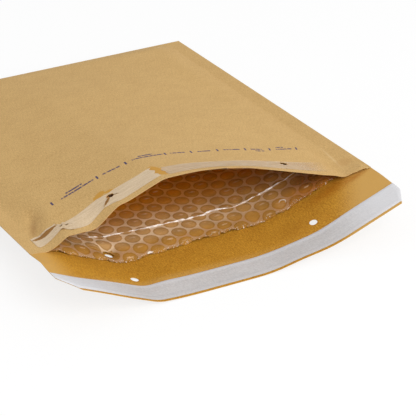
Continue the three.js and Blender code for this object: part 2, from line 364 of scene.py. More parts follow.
    def loose_corner(self, across: Array, along: Array) -> Array:
        """Give how far the front panel's right mouth corner has come off the back panel.

        Args:
            across: Places across the sheet.
            along: Places along the sheet.

        Returns:
            The height to add at each place.
        """
        rise = self.step(across, *self.loose_rise) * (1.0 - self.step(across, *self.loose_fall))
        return self.loose_height * rise * np.clip(1.0 - along / self.loose_length, 0.0, 1.0) ** 2

    def front_along(self, across: Array, along: Array) -> Array:
        """Draw the front panel's loose mouth corner out over the flap."""
        share = self.step(across, self.loose_rise[0], self.half_width)
        return along - self.loose_reach * share * np.clip(1.0 - along / self.loose_length, 0.0, 1.0)

    def front_top(self, across: Array, along: Array) -> Array:
        """Give the height of the front panel's outer face.

        Args:
            across: Places across the sheet.
            along: Places along the sheet.

        Returns:
            The height at each place, with both papers together on the glued seams.
        """
        across, along = np.broadcast_arrays(np.asarray(across, float), np.asarray(along, float))
        opened = self.openness(along)
        share = (across + self.seam_line) / (2.0 * self.seam_line)
        seam_left = self.back_under(np.full_like(along, -self.seam_line), along)
        seam_right = self.back_under(np.full_like(along, self.seam_line), along)
        seam = seam_left + (seam_right - seam_left) * share + 2.0 * self.paper
        arch = self.arch(across) * self.fullness(self.cavity_end - along)
        closed_depth = 2.0 * (self.bubble_film + self.contact_gap) + self.pocket_slack
        pad = (closed_depth - self.closed_seam_height) * self.padding(across, along)
        inside = seam + opened * arch + (1.0 - opened) * pad + self.front_relief(across, along)
        joined = (np.abs(across) >= self.seam_line) | (along >= self.cavity_end)
        top = np.where(joined, self.back_under(across, along) + 2.0 * self.paper, inside)
        return top + self.loose_corner(across, along)

    def back_inside(self, across: Array, along: Array) -> Array:
        """Give the height of the back panel's and the flap's upper face."""
        return self.back_under(across, along) + self.paper

    def front_inside(self, across: Array, along: Array) -> Array:
        """Give the height of the front panel's lower face."""
        return self.front_top(across, along) - self.paper

    def narrowed(self, across: Array, along: Array) -> Array:
        """Draw places in towards the middle where the flap's corners are cut.

        Args:
            across: Places across the sheet.
            along: Places along the sheet.

        Returns:
            Where each place lies across the cut sheet.
        """
        beyond = np.maximum(0.0, self.corner_start - along) / self.flap_corner_along
        cut = np.where(across < 0.0, *self.flap_corner_across)
        return across * (1.0 - beyond * cut / self.half_width)

    def placed(self, across: Array, along: Array, height: Array) -> Array:
        """Put places of the flat sheet where they lie on the open mailer.

        Args:
            across: Places across the sheet.
            along: Places along the sheet.
            height: Heights above the surface.

        Returns:
            One row for each point, in metres in the row frame.
        """
        draw_in = 1.0 - self.openness(along) * self.side_draw_in / self.half_width
        points = np.stack([across * draw_in, along + self.shift_along, height], axis=-1)
        return points.reshape(-1, 3) * MM


class NodePad:
    """Adds nodes to one tree and joins them."""

    def __init__(self, tree: bpy.types.NodeTree) -> None:
        """Keep the tree that the nodes go into."""
        self.tree = tree

    def feed(self, socket: Socket, value: object) -> None:
        """Link a socket into an input, or set the input's plain value.

        Args:
            socket: The input.
            value: A socket to link or a plain value to set.
        """
        if isinstance(value, Socket):
            self.tree.links.new(value, socket)
        else:
            socket.default_value = value

    def fill(self, node: bpy.types.Node, inputs: dict) -> None:
        """Feed several of a node's inputs, by name or number."""
        for key, value in inputs.items():
            self.feed(node.inputs[key], value)

    def add(self, kind: str, inputs: dict | None = None, **settings: object) -> bpy.types.Node:
        """Add one node.

        Args:
            kind: The node's type name.
            inputs: Values or sockets for its inputs, by name or number.
            settings: Properties of the node itself.

        Returns:
            The new node.
        """
        node = self.tree.nodes.new(kind)
        for name, value in settings.items():
            setattr(node, name, value)
        self.fill(node, inputs or {})
        return node

    def math(self, operation: str, *values: object, clamp: bool = False) -> Socket:
        """Add a math node and give its result."""
        inputs = dict(enumerate(values))
        return self.add("ShaderNodeMath", inputs, operation=operation, use_clamp=clamp).outputs[0]

    def times(self, *values: object) -> Socket:
        """Multiply two or more values."""
        return reduce(partial(self.math, "MULTIPLY"), values)

    def most(self, *values: object) -> Socket:
        """Give the greatest of two or more values."""
        return reduce(partial(self.math, "MAXIMUM"), values)

    def scaled(self, value: object, factor: object, shift: object) -> Socket:
        """Multiply a value by a factor and add a shift."""
        return self.math("MULTIPLY_ADD", value, factor, shift)

    def away(self, value: object, middle: object) -> Socket:
        """Give how far a value is from a middle, to either side."""
        return self.math("ABSOLUTE", self.math("SUBTRACT", value, middle))

    def vector(self, operation: str, *values: object) -> Socket:
        """Add a vector math node and give its vector."""
        return self.add("ShaderNodeVectorMath", dict(enumerate(values)), operation=operation).outputs[0]

    def length(self, vector: object) -> Socket:
        """Give a vector's length."""
        return self.add("ShaderNodeVectorMath", {0: vector}, operation="LENGTH").outputs["Value"]

    def parts(self, vector: object) -> tuple[Socket, ...]:
        """Give a vector's three parts."""
        return tuple(self.add("ShaderNodeSeparateXYZ", {0: vector}).outputs)

    def joined(self, first: object, second: object = 0.0) -> Socket:
        """Make a level vector of two parts."""
        return self.add("ShaderNodeCombineXYZ", {0: first, 1: second}).outputs[0]

    def mix(self, share: object, first: object, second: object) -> Socket:
        """Mix two colours by a share from 0 to 1."""
        node = self.add("ShaderNodeMix", {0: share, 6: first, 7: second}, data_type="RGBA")
        return node.outputs[2]

    def between(self, value: object, low: float, high: float, start: float = 0.0,
                end: float = 1.0) -> Socket:
        """Map a value smoothly from one range to another.

        Args:
            value: The value to map.
            low: Where the source range begins.
            high: Where the source range ends.
            start: The result at low.
            end: The result at high.

        Returns:
            The mapped value, which stays inside its range.
        """
        inputs = {0: value, 1: low, 2: high, 3: start, 4: end}
        return self.add("ShaderNodeMapRange", inputs, interpolation_type="SMOOTHSTEP").outputs[0]

    def noise(self, place: object, scale: float, detail: float = 3.0, roughness: float = 0.55) -> Socket:
        """Add a noise texture on a place and give its value."""
        inputs = {"Vector": place, "Scale": scale, "Detail": detail, "Roughness": roughness}
        return self.add("ShaderNodeTexNoise", inputs).outputs[0]

    def bump(self, height: object, strength: float, distance: float = 0.0004) -> Socket:
        """Turn a height into a normal."""
        inputs = {"Strength": strength, "Distance": distance, "Height": height}
        return self.add("ShaderNodeBump", inputs).outputs[0]

    def group(self, tree: bpy.types.NodeTree, **inputs: object) -> bpy.types.Node:
        """Place a node group with its own values, named with spaces for underscores."""
        named = {name.replace("_", " ").capitalize(): value for name, value in inputs.items()}
        return self.add("ShaderNodeGroup", named, node_tree=tree)

    def flat_place(self) -> Socket:
        """Give the place on the flat sheet, across and along in millimetres.

        Returns:
            The place, read from the sheet's UV map.
        """
        uv = self.add("ShaderNodeUVMap", uv_map=FLAT_UV).outputs[0]
        scaled = self.vector("MULTIPLY", uv, (UV_SPAN, UV_SPAN, 0.0))
        return self.vector("SUBTRACT", scaled, (*UV_SHIFT, 0.0))


def start_material(name: str) -> tuple[bpy.types.Material, NodePad, bpy.types.Node]:
    """Start a material that is made of nodes.

    Args:
        name: The material's name.

    Returns:
        The material, a pad for its nodes and its main shader.
    """
    made = bpy.data.materials.new(name)
    made.use_nodes = True
    return made, NodePad(made.node_tree), made.node_tree.nodes["Principled BSDF"]


@dataclass
class SharedEffects:
    """The shader node groups that more than one finish uses.

    A noise is its scale for each millimetre, then its detail and its roughness where they are set.
    """

    cloud_noise: Span = (0.05, 4.0)
    cloud_share: float = 0.1
    pulp_noise: Triple = (0.75, 5.0, 0.65)
    pulp_share: float = 0.56
    grain_noise: float = 0.9
    grain_stretch: Triple = (1.9, 0.22, 1.0)
    grain_share: float = 0.34
    grain_height: float = 0.4
    hair_noise: Span = (1.1, 2.0)
    hair_stretch: Triple = (0.35, 1.6, 1.0)
    hair_range: Span = (0.66, 0.8)
    speck_noise: Span = (1.3, 2.0)
    speck_shift: Triple = (37.0, 11.0, 0.0)
    speck_range: Span = (0.66, 0.78)
    streak_noise: Triple = (0.8, 4.0, 0.6)
    haze_noise: float = 0.09
    fibres: bpy.types.NodeTree = field(init=False)
    streaks: bpy.types.NodeTree = field(init=False)

    def __post_init__(self) -> None:
        """Build each group once."""
        self.fibres = self._fibres()
        self.streaks = self._streaks()

    @staticmethod
    def _new_group(name: str, setting: tuple[str, float],
                   outputs: tuple[str, ...]) -> tuple[NodePad, bpy.types.Node, bpy.types.Node]:
        """Start a group that works on a place and has one setting.

        Args:
            name: The group's name.
            setting: The setting's name and first value.
            outputs: The names of the values it puts out.

        Returns:
            The pad for its nodes, its input node and its output node.
        """
        tree = bpy.data.node_groups.new(name, "ShaderNodeTree")
        tree.interface.new_socket("Place", in_out="INPUT", socket_type="NodeSocketVector")
        socket = tree.interface.new_socket(setting[0], in_out="INPUT", socket_type="NodeSocketFloat")
        socket.default_value = setting[1]
        for title in outputs:
            tree.interface.new_socket(title, in_out="OUTPUT", socket_type="NodeSocketFloat")
        pad = NodePad(tree)
        return pad, pad.add("NodeGroupInput"), pad.add("NodeGroupOutput")

    def _fibres(self) -> bpy.types.NodeTree:
        """Build the look of paper pulp: cloudy tone, lengthways fibres and scattered flecks.

        Returns:
            The group's tree.
        """
        pad, source, result = self._new_group(
            "paper fibres", ("Fineness", 1.0), ("Tone", "Dark flecks", "Pale fibres", "Height"))
        sized = pad.add("ShaderNodeVectorMath",
                        {0: source.outputs["Place"], "Scale": source.outputs["Fineness"]},
                        operation="SCALE").outputs[0]
        clouds = pad.noise(sized, *self.cloud_noise)
        pulp = pad.noise(sized, *self.pulp_noise)
        grain = pad.noise(pad.vector("MULTIPLY", sized, self.grain_stretch), self.grain_noise)
        hairs = pad.noise(pad.vector("MULTIPLY", sized, self.hair_stretch), *self.hair_noise)
        specks = pad.noise(pad.vector("ADD", sized, self.speck_shift), *self.speck_noise)
        tone = pad.scaled(pulp, self.pulp_share, pad.times(clouds, self.cloud_share))
        pad.fill(result, {
            "Tone": pad.scaled(grain, self.grain_share, tone),
            "Dark flecks": pad.between(specks, *self.speck_range),
            "Pale fibres": pad.between(hairs, *self.hair_range),
            "Height": pad.scaled(grain, self.grain_height, pulp),
        })
        return pad.tree

    def _streaks(self) -> bpy.types.NodeTree:
        """Build fine streaks that run across the mailer, as on drawn film and coated strips.

        Returns:
            The group's tree.
        """
        pad, source, result = self._new_group("drawn streaks", ("Stretch", 8.0), ("Streak", "Haze"))
        place = source.outputs["Place"]
        across, along, _ = pad.parts(place)
        drawn = pad.joined(pad.math("DIVIDE", across, source.outputs["Stretch"]), along)
        pad.fill(result, {
            "Streak": pad.noise(drawn, *self.streak_noise),
            "Haze": pad.noise(place, self.haze_noise),
        })
        return pad.tree


@dataclass(frozen=True)
class PrintedRow:
    """The row of print on the front panel, as plain ticks and bars in millimetres on the sheet."""

    along: float = 43.0
    tick_places: tuple[float, ...] = (-86.0, -54.6, -34.5, -6.5, 12.2, 31.4, 52.0, 70.5, 90.8)
    tick_width: float = 1.2
    tick_half_length: float = 2.1
    tick_lean: Span = (0.0016, 0.15)
    bars: tuple[Span, ...] = (
        (-80.5, -58.0), (-51.3, -39.3), (-30.2, -9.0), (-3.2, 7.0),
        (16.0, 26.2), (34.8, 46.9), (55.4, 64.4), (74.5, 86.3),
    )
    bars_above: tuple[Span, ...] = ((-75.0, -64.5), (-25.0, -14.2), (76.5, 82.0))
    bars_below: tuple[Span, ...] = ((58.0, 64.0),)
    bar_half_height: float = 0.85
    bar_ink: Span = (0.7, 0.25)
    line_step: float = 3.2
    soft_edge: float = 0.15
    break_stretch: Triple = (1.0, 0.2, 0.0)
    break_scale: float = 0.85
    break_range: Span = (0.36, 0.5)
    strength: float = 0.95
    ink: Colour = colour(60, 54, 94)

    @staticmethod
    def _stripes(pad: NodePad, across: Socket, spans: tuple[Span, ...]) -> Socket:
        """Give 1 inside each span across the sheet and 0 outside.

        Args:
            pad: The pad that the nodes go on.
            across: The place across the sheet.
            spans: Start and end of each stripe.

        Returns:
            The mask.
        """
        node = pad.add("ShaderNodeValToRGB", {0: pad.scaled(across, 0.5 / HALF_WIDTH, 0.5)})
        ramp = node.color_ramp
        ramp.interpolation = "CONSTANT"
        ramp.elements[0].color = (0.0, 0.0, 0.0, 1.0)
        ramp.elements.remove(ramp.elements[1])
        for start, end in spans:
            for edge, level in ((start, 1.0), (end, 0.0)):
                stop = ramp.elements.new(0.5 + 0.5 * edge / HALF_WIDTH)
                stop.color = (level, level, level, 1.0)
        return node.outputs[0]

    def _band(self, pad: NodePad, away: Socket, half: float) -> Socket:
        """Give 1 within half of a middle line, with a slightly soft edge."""
        return pad.between(away, half * (1.0 - self.soft_edge), half * (1.0 + self.soft_edge), 1.0, 0.0)

    def mask(self, pad: NodePad, place: Socket) -> Socket:
        """Give how strong the ink is at each place.

        Args:
            pad: The pad that the nodes go on.
            place: The place on the flat sheet.

        Returns:
            The mask of all ticks and bars.
        """
        across, along, _ = pad.parts(place)
        offset = pad.math("SUBTRACT", along, self.along)
        leaning = pad.math("SUBTRACT", across, pad.times(offset, pad.scaled(across, *self.tick_lean)))
        ticks = [pad.away(leaning, tick) for tick in self.tick_places]
        nearest = reduce(partial(pad.math, "MINIMUM"), ticks)
        inked = pad.times(self._band(pad, nearest, self.tick_width / 2.0),
                          self._band(pad, pad.away(offset, 0.0), self.tick_half_length))
        worn = pad.noise(pad.vector("MULTIPLY", place, self.break_stretch), self.break_scale, 1.0)
        ink = pad.scaled(pad.between(worn, *self.break_range), *self.bar_ink)
        lines = ((self.bars, 0.0), (self.bars_above, self.line_step), (self.bars_below, -self.line_step))
        for spans, height in lines:
            level = self._band(pad, pad.away(offset, height), self.bar_half_height)
            inked = pad.most(inked, pad.times(self._stripes(pad, across, spans), level, ink))
        return pad.times(inked, self.strength)


@dataclass(frozen=True)
class Mark:
    """A small soft patch on the sheet, in millimetres, solid and faded at shares of its reach: a torn or
    peeled place, painted shade or a painted highlight.
    """

    across: float
    along: float
    reach_across: float
    reach_along: float
    turn: float = 0.0
    solid: float = 0.85
    faded: float = 1.1

    def mask(self, pad: NodePad, place: Socket, ragged: Socket | float = 0.0) -> Socket:
        """Give 1 inside the mark, with a ragged edge that is as sharp as its solid share.

        Args:
            pad: The pad that the nodes go on.
            place: The place on the flat sheet.
            ragged: Noise that roughens the outline.

        Returns:
            The mask of this mark.
        """
        moved = pad.vector("SUBTRACT", place, (self.across, self.along, 0.0))
        turned = pad.add("ShaderNodeVectorRotate", {"Vector": moved, "Angle": -self.turn},
                         rotation_type="Z_AXIS").outputs[0]
        sized = pad.vector("DIVIDE", turned, (self.reach_across, self.reach_along, 1.0))
        return pad.between(pad.math("ADD", pad.length(sized), ragged), self.solid, self.faded, 1.0, 0.0)


@dataclass(frozen=True)
class KraftFinish:
    """Matt kraft paper with fibres and flecks. Its ends colour is painted light on the flap's raised ends,
    its pocket colour is painted warm bounce shade deep in the pocket, and its marks are torn or peeled
    places, a lighter band, painted shade and a painted highlight. A fade is a range and the shares at its
    two ends.
    """

    name: str
    dark: Colour
    light: Colour
    fleck: Colour
    hair: Colour
    roughness: Span = (0.72, 0.9)
    fineness: float = 1.5
    # Painted light: a lighter colour on the flap's raised ends.
    ends: Colour | None = None
    # Painted warm bounce shade deep in the pocket.
    pocket_bounce_shade: Colour | None = None
    print_row: PrintedRow | None = None
    marks: tuple[tuple[Colour, float, tuple[Mark, ...]], ...] = ()
    tone_range: Span = (0.36, 0.64)
    rough_range: Span = (0.3, 0.7)
    fleck_share: float = 0.35
    hair_share: float = 0.3
    pocket_bounce_fade: Fade = (18.0, 75.0, 0.0, 0.8)
    end_blur: float = 16.0
    end_slant: float = -0.6
    left_fade: Fade = (-110.0, -90.0, 0.8, 0.0)
    right_fade: Fade = (101.0, 125.0, 0.0, 0.9)
    ragged_scale: float = 0.7
    ragged_depth: float = 0.9
    specular: float = 0.25
    bump: float = 0.08

    def _marked(self, pad: NodePad, place: Socket, paint: Socket) -> Socket:
        """Lay the marks over the paint, one after the other.

        Args:
            pad: The pad that the nodes go on.
            place: The place on the flat sheet.
            paint: The colour so far.

        Returns:
            The colour with its marks.
        """
        if not self.marks:
            return paint
        noise = pad.noise(place, self.ragged_scale)
        ragged = pad.scaled(noise, self.ragged_depth, -self.ragged_depth / 2.0)
        for look, strength, marks in self.marks:
            for mark in marks:
                paint = pad.mix(pad.times(mark.mask(pad, place, ragged), strength), paint, look)
        return paint

    def material(self, effects: SharedEffects) -> bpy.types.Material:
        """Build the paper's material.

        Args:
            effects: The shared node groups.

        Returns:
            The material.
        """
        made, pad, shader = start_material(self.name)
        place = pad.flat_place()
        across, along, _ = pad.parts(place)
        pulp = pad.group(effects.fibres, place=place, fineness=self.fineness).outputs
        tone = pulp["Tone"]
        paint = pad.mix(pad.between(tone, *self.tone_range), self.dark, self.light)
        # Painted light on the flap's raised ends.
        if self.ends is not None:
            thin = pad.scaled(tone, self.end_blur, across)
            right = pad.between(pad.scaled(along, self.end_slant, thin), *self.right_fade)
            paint = pad.mix(pad.most(pad.between(thin, *self.left_fade), right), paint, self.ends)
        # Painted warm bounce shade, stronger deeper in the pocket.
        if self.pocket_bounce_shade is not None:
            paint = pad.mix(pad.between(along, *self.pocket_bounce_fade), paint, self.pocket_bounce_shade)
        paint = pad.mix(pad.times(pulp["Dark flecks"], self.fleck_share), paint, self.fleck)
        paint = pad.mix(pad.times(pulp["Pale fibres"], self.hair_share), paint, self.hair)
        if self.print_row is not None:
            paint = pad.mix(self.print_row.mask(pad, place), paint, self.print_row.ink)
        pad.fill(shader, {
            "Base Color": self._marked(pad, place, paint),
            "Roughness": pad.between(tone, *self.rough_range, *self.roughness),
            "Specular IOR Level": self.specular,
            "Normal": pad.bump(pulp["Height"], self.bump),
        })
        return made


@dataclass(frozen=True)
class FilmFinish:
    """Clear bubble film: open windows over the bubbles, milky webs between them, with painted light,
    painted shade and painted glints.

    A fade is a range in millimetres and the shares at its two ends.
    """

    name: str = "bubble_film"
    window: Colour = colour(206, 153, 72)
    web: Colour = colour(191, 153, 112)
    # Painted warm bounce light deep in the pocket.
    bounce_window: Colour = colour(234, 148, 26)
    bounce_web: Colour = colour(230, 164, 80)
    # Painted highlight: pale glints in some bubbles.
    glint: Colour = colour(226, 196, 158)
    # Painted highlight: glints on the cut edge, around the right back hole and at the specks.
    sparkle: Colour = colour(252, 244, 232)
    # Painted light on the liner's left side.
    left_painted_light: Colour = colour(246, 222, 186)
    # Painted shade near the cut edge, stronger to the right.
    edge_painted_shade: Colour = colour(134, 87, 38)
    # Painted shade in the right corner under the front lip.
    corner_painted_shade: Colour = colour(158, 86, 14)
    # Random darker tone per bubble, and painted shade around each rim.
    bubble_tone_and_shade: Colour = colour(120, 72, 20)
    # A painted glint on the cut edge.
    specks: tuple[Mark, ...] = (Mark(-37.5, 2.6, 2.0, 0.9, 0.15),)
    # Painted glint ring around the right back hole, where the film is not punched.
    hole_glint_ring: tuple[Mark, Mark] = (Mark(61.4, 9.2, 2.5, 2.3), Mark(61.0, 8.6, 2.2, 1.9))
    hole_glint_strength: float = 0.7
    depth: Span = (18.0, 75.0)
    web_range: Span = (5.05, 5.4)
    rim_range: Triple = (3.6, 4.9, 5.2)
    hollow_share: float = 0.1
    rim_share: float = 0.22
    clear_cover: float = 0.72
    web_cover: float = 0.24
    glint_cover: float = 0.25
    facing_cover: float = 0.1
    facing_blend: float = 0.3
    noise_range: Span = (0.3, 0.7)
    haze_cover: Span = (0.8, 1.2)
    streak_stretch: float = 3.0
    edge_fade: Fade = (1.6, 4.6, 1.0, 0.0)
    edge_scale: float = 1.2
    edge_range: Span = (0.57, 0.66)
    glint_place: Triple = (-0.3, 0.9, 0.0)
    glint_size: Triple = (2.4, 1.0, 1.0)
    glint_stray: float = 3.0
    glint_wander: float = 0.5
    glint_fade: Fade = (0.1, 1.2, 0.78, 0.0)
    glint_border: Fade = (3.6, 4.4, 1.0, 0.0)
    glint_share: Span = (0.3, 0.85)
    left_light_start: Fade = (9.0, 18.0, 0.0, 1.0)
    left_light_end: Fade = (30.0, 60.0, 1.0, 0.0)
    left_light_across: Fade = (-60.0, 70.0, 0.75, 0.25)
    left_light_web: Span = (0.68, 0.32)
    edge_shade_along: Fade = (5.0, 20.0, 1.0, 0.0)
    edge_shade_across: Fade = (-40.0, 55.0, 0.28, 0.46)
    corner_shade_along: Fade = (16.0, 34.0, 1.0, 0.0)
    corner_shade_across: Fade = (50.0, 85.0, 0.0, 0.6)
    roughness: Span = (0.12, 0.3)
    specular: float = 0.4
    bump: float = 0.25
    bump_distance: float = 0.0006
    bump_scale: float = 0.25

    def _glint_spots(self, pad: NodePad, place: Socket, spot: Socket, away: Socket) -> Socket:
        """Give the painted highlight: a small pale glint in some of the bubbles.

        Args:
            pad: The pad that the nodes go on.
            place: The place on the flat sheet.
            spot: The place from the bubble's centre, and the bubble's own share.
            away: The distance from the bubble's centre.

        Returns:
            The mask of the painted glints.
        """
        own = pad.parts(spot)[2]
        level = pad.vector("MULTIPLY", spot, (1.0, 1.0, 0.0))
        stray = pad.joined(pad.scaled(own, self.glint_stray, -self.glint_stray / 2.0))
        centre = pad.vector("ADD", self.glint_place, stray)
        sized = pad.vector("DIVIDE", pad.vector("SUBTRACT", level, centre), self.glint_size)
        wander = pad.scaled(pad.noise(place, self.glint_wander, 2.0), 2.0, -1.0)
        painted_glint = pad.between(pad.math("ADD", pad.length(sized), wander), *self.glint_fade)
        return pad.times(painted_glint, pad.between(away, *self.glint_border), pad.between(own, *self.glint_share))

    def _lit(self, pad: NodePad, across: Socket, along: Socket, web: Socket) -> Socket:
        """Give the film's colour with painted light and shade: warm bounce light deeper in the pocket,
        painted light at the left, and painted shade at the cut edge and in the right corner.

        Args:
            pad: The pad that the nodes go on.
            across: The place across the sheet.
            along: The place along the sheet.
            web: The mask of the webs between the bubbles.

        Returns:
            The colour.
        """
        # Painted warm bounce light deeper in the pocket.
        deep = pad.between(along, *self.depth)
        window = pad.mix(deep, self.window, self.bounce_window)
        paint = pad.mix(web, window, pad.mix(deep, self.web, self.bounce_web))
        # Painted light on the left side, mostly on the webs.
        left_lit = pad.times(
            pad.between(along, *self.left_light_start), pad.between(along, *self.left_light_end),
            pad.between(across, *self.left_light_across), pad.scaled(web, *self.left_light_web))
        # Painted shade near the cut edge, stronger to the right.
        edge_shaded = pad.times(pad.between(along, *self.edge_shade_along), pad.between(across, *self.edge_shade_across))
        # Painted shade in the right corner under the front lip.
        corner = pad.times(pad.between(along, *self.corner_shade_along), pad.between(across, *self.corner_shade_across))
        for share, look in ((left_lit, self.left_painted_light), (edge_shaded, self.edge_painted_shade), (corner, self.corner_painted_shade)):
            paint = pad.mix(share, paint, look)
        return paint

    def _hollow(self, pad: NodePad, spot: Socket, away: Socket, web: Socket) -> Socket:
        """Give how dark each bubble is: a darker tone that differs at random from bubble to bubble, and
        painted shade around its rim.

        Args:
            pad: The pad that the nodes go on.
            spot: The place from the bubble's centre, and the bubble's own share.
            away: The distance from the bubble's centre.
            web: The mask of the webs between the bubbles.

        Returns:
            The mask.
        """
        start, middle, end = self.rim_range
        rim = pad.times(pad.between(away, start, middle), pad.between(away, middle, end, 1.0, 0.0))
        own = pad.between(pad.parts(spot)[2], 0.0, 1.0)
        hollow = pad.scaled(own, self.hollow_share, pad.times(rim, self.rim_share))
        return pad.times(hollow, pad.math("SUBTRACT", 1.0, web))

    def material(self, effects: SharedEffects) -> bpy.types.Material:
        """Build the film's material.

        Args:
            effects: The shared node groups.

        Returns:
            The material, see-through by its alpha.
        """
        made, pad, shader = start_material(self.name)
        place = pad.flat_place()
        across, along, _ = pad.parts(place)
        spot = pad.add("ShaderNodeAttribute", attribute_name=BUBBLE_PLACE).outputs["Vector"]
        away = pad.add("ShaderNodeAttribute", attribute_name=BUBBLE_AWAY).outputs["Fac"]
        drawn = pad.group(effects.streaks, place=place, stretch=self.streak_stretch).outputs
        web = pad.between(away, *self.web_range)
        glint_spots = self._glint_spots(pad, place, spot, away)
        # Painted glints along the cut mouth edge.
        edge_glints = pad.times(pad.between(along, *self.edge_fade),
                         pad.between(pad.noise(place, self.edge_scale), *self.edge_range))
        cover = pad.scaled(web, self.web_cover, self.clear_cover)
        cover = pad.scaled(pad.most(glint_spots, edge_glints), self.glint_cover, cover)
        cover = pad.times(cover, pad.between(drawn["Haze"], *self.noise_range, *self.haze_cover))
        facing = pad.add("ShaderNodeLayerWeight", {"Blend": self.facing_blend}).outputs["Facing"]
        # Painted glint ring around the right back hole.
        outer, inner = (mark.mask(pad, place) for mark in self.hole_glint_ring)
        ring = pad.times(pad.math("SUBTRACT", outer, inner, clamp=True), self.hole_glint_strength)
        sparkle = pad.most(edge_glints, ring, *(glint_speck.mask(pad, place) for glint_speck in self.specks))
        paint = self._lit(pad, across, along, web)
        paint = pad.mix(self._hollow(pad, spot, away, web), paint, self.bubble_tone_and_shade)
        # Painted glints in some bubbles.
        paint = pad.mix(glint_spots, paint, self.glint)
        pad.fill(shader, {
            "Base Color": pad.mix(sparkle, paint, self.sparkle),
            "Alpha": pad.math("MULTIPLY_ADD", facing, self.facing_cover, cover, clamp=True),
            "Roughness": pad.between(drawn["Streak"], *self.noise_range, *self.roughness),
            "Specular IOR Level": self.specular,
            "Normal": pad.bump(pad.noise(place, self.bump_scale), self.bump, self.bump_distance),
        })
        return made


@dataclass(frozen=True)
class StripFinish:
    """A drawn strip: release paper, adhesive or tape, with streaks along it."""

    name: str
    dark: Colour
    light: Colour
    roughness: Span
    stretch: float = 8.0
    cover: Span | None = None
    fade: Span | None = None
    edge_lines: Span | None = None
    # Painted highlight along the inner edge; the same pale colour also lightens both ends.
    edge: Colour = colour(226, 227, 232)
    outer_shade: Colour = colour(168, 165, 164)
    outer_reach: float = 5.0
    outer_share: float = 0.6
    inner_reach: Span = (6.0, 0.5)
    inner_share: float = 0.55
    end_fade: Fade = (60.0, 112.0, 0.0, 0.5)
    grain_share: float = 0.4
    fineness: float = 1.6
    tone_range: Span = (0.38, 0.62)
    rough_range: Span = (0.3, 0.7)
    cover_range: Span = (0.35, 0.65)
    specular: float = 0.4
    bump: float = 0.06

    def _edged(self, pad: NodePad, place: Socket, paint: Socket) -> Socket:
        """Paint shade along the outer edge, a painted highlight along the inner edge, and a lighter colour
        towards both ends.

        Args:
            pad: The pad that the nodes go on.
            place: The place on the flat sheet.
            paint: The colour so far.

        Returns:
            The colour with its edges.
        """
        across, along, _ = pad.parts(place)
        outer, inner = self.edge_lines
        start, end = self.inner_reach
        shade = pad.between(along, outer, outer + self.outer_reach, self.outer_share, 0.0)
        light = pad.between(along, inner - start, inner - end, 0.0, self.inner_share)
        ends = pad.between(pad.away(across, 0.0), *self.end_fade)
        return pad.mix(pad.most(light, ends), pad.mix(shade, paint, self.outer_shade), self.edge)

    def material(self, effects: SharedEffects) -> bpy.types.Material:
        """Build the strip's material.

        Args:
            effects: The shared node groups.

        Returns:
            The material.
        """
        made, pad, shader = start_material(self.name)
        place = pad.flat_place()
        streak = pad.group(effects.streaks, place=place, stretch=self.stretch).outputs["Streak"]
        pulp = pad.group(effects.fibres, place=place, fineness=self.fineness).outputs["Tone"]
        mixed = pad.scaled(pulp, self.grain_share, pad.times(streak, 1.0 - self.grain_share))
        paint = pad.mix(pad.between(mixed, *self.tone_range), self.dark, self.light)
        if self.edge_lines is not None:
            paint = self._edged(pad, place, paint)
        if self.cover is not None:
            cover = pad.between(streak, *self.cover_range, *self.cover)
            if self.fade is not None:
                cover = pad.times(cover, pad.between(pad.parts(place)[0], *self.fade, 1.0, 0.0))
            pad.feed(shader.inputs["Alpha"], cover)
        pad.fill(shader, {
            "Base Color": paint,
            "Roughness": pad.between(mixed, *self.rough_range, *self.roughness),
            "Specular IOR Level": self.specular,
            "Normal": pad.bump(mixed, self.bump),
        })
        return made


@dataclass
class SheetMesh:
    """Points and faces of one piece, with each point's place on the flat sheet."""

    points: Array
    flat: Array
    faces: Faces
    slots: list[int] = field(default_factory=list)
    bubble_place: Array | None = None

    def to_object(self, name: str, materials: list[bpy.types.Material],
                  sharp_angle: float = 40.0) -> bpy.types.Object:
        """Make the piece's object.

        Args:
            name: The piece's name.
            materials: Its material slots in order.
            sharp_angle: Edges that turn more than this, in degrees, stay sharp.

        Returns:
            The linked object, at the origin.
        """
        used = np.zeros(len(self.points), bool)
        used[np.fromiter((i for face in self.faces for i in face), int)] = True
        renumber = np.cumsum(used) - 1
        faces = [tuple(int(renumber[i]) for i in face) for face in self.faces]
        flat = self.flat[used]
        mesh = bpy.data.meshes.new(name)
        mesh.from_pydata(self.points[used].tolist(), [], faces)
        loop_points = np.zeros(len(mesh.loops), np.int32)
        mesh.loops.foreach_get("vertex_index", loop_points)
        layer = mesh.uv_layers.new(name=FLAT_UV)
        uv = (flat[loop_points] + np.array(UV_SHIFT)) / UV_SPAN
        layer.uv.foreach_set("vector", uv.astype(np.float32).ravel())
        if self.slots:
            mesh.polygons.foreach_set("material_index", np.array(self.slots, np.int32))
        if self.bubble_place is not None:
            spots = self.bubble_place[used].astype(np.float32)
            attribute = mesh.attributes.new(BUBBLE_PLACE, "FLOAT_VECTOR", "POINT")
            attribute.data.foreach_set("vector", spots.ravel())
            attribute = mesh.attributes.new(BUBBLE_AWAY, "FLOAT", "POINT")
            attribute.data.foreach_set("value", np.hypot(spots[:, 0], spots[:, 1]))
        for material in materials:
            mesh.materials.append(material)
        mesh.update()
        mesh.shade_smooth()
        mesh.set_sharp_from_angle(angle=math.radians(sharp_angle))
        return linked(name, mesh)


def evaluated_mesh(source: bpy.types.Object) -> bpy.types.Mesh:
    """Give the plain mesh that an object's modifiers make."""
    graph = bpy.context.evaluated_depsgraph_get()
    return bpy.data.meshes.new_from_object(source.evaluated_get(graph), depsgraph=graph)


def hand_over(piece: bpy.types.Object, slot: str, *nodes: str) -> None:
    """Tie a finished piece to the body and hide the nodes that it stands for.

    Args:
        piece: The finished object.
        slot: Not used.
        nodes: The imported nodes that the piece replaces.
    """
    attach(piece, BODY)
    if nodes:
        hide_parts(*nodes)
    LOG.info("%s: %d faces", piece.name, len(piece.data.polygons))


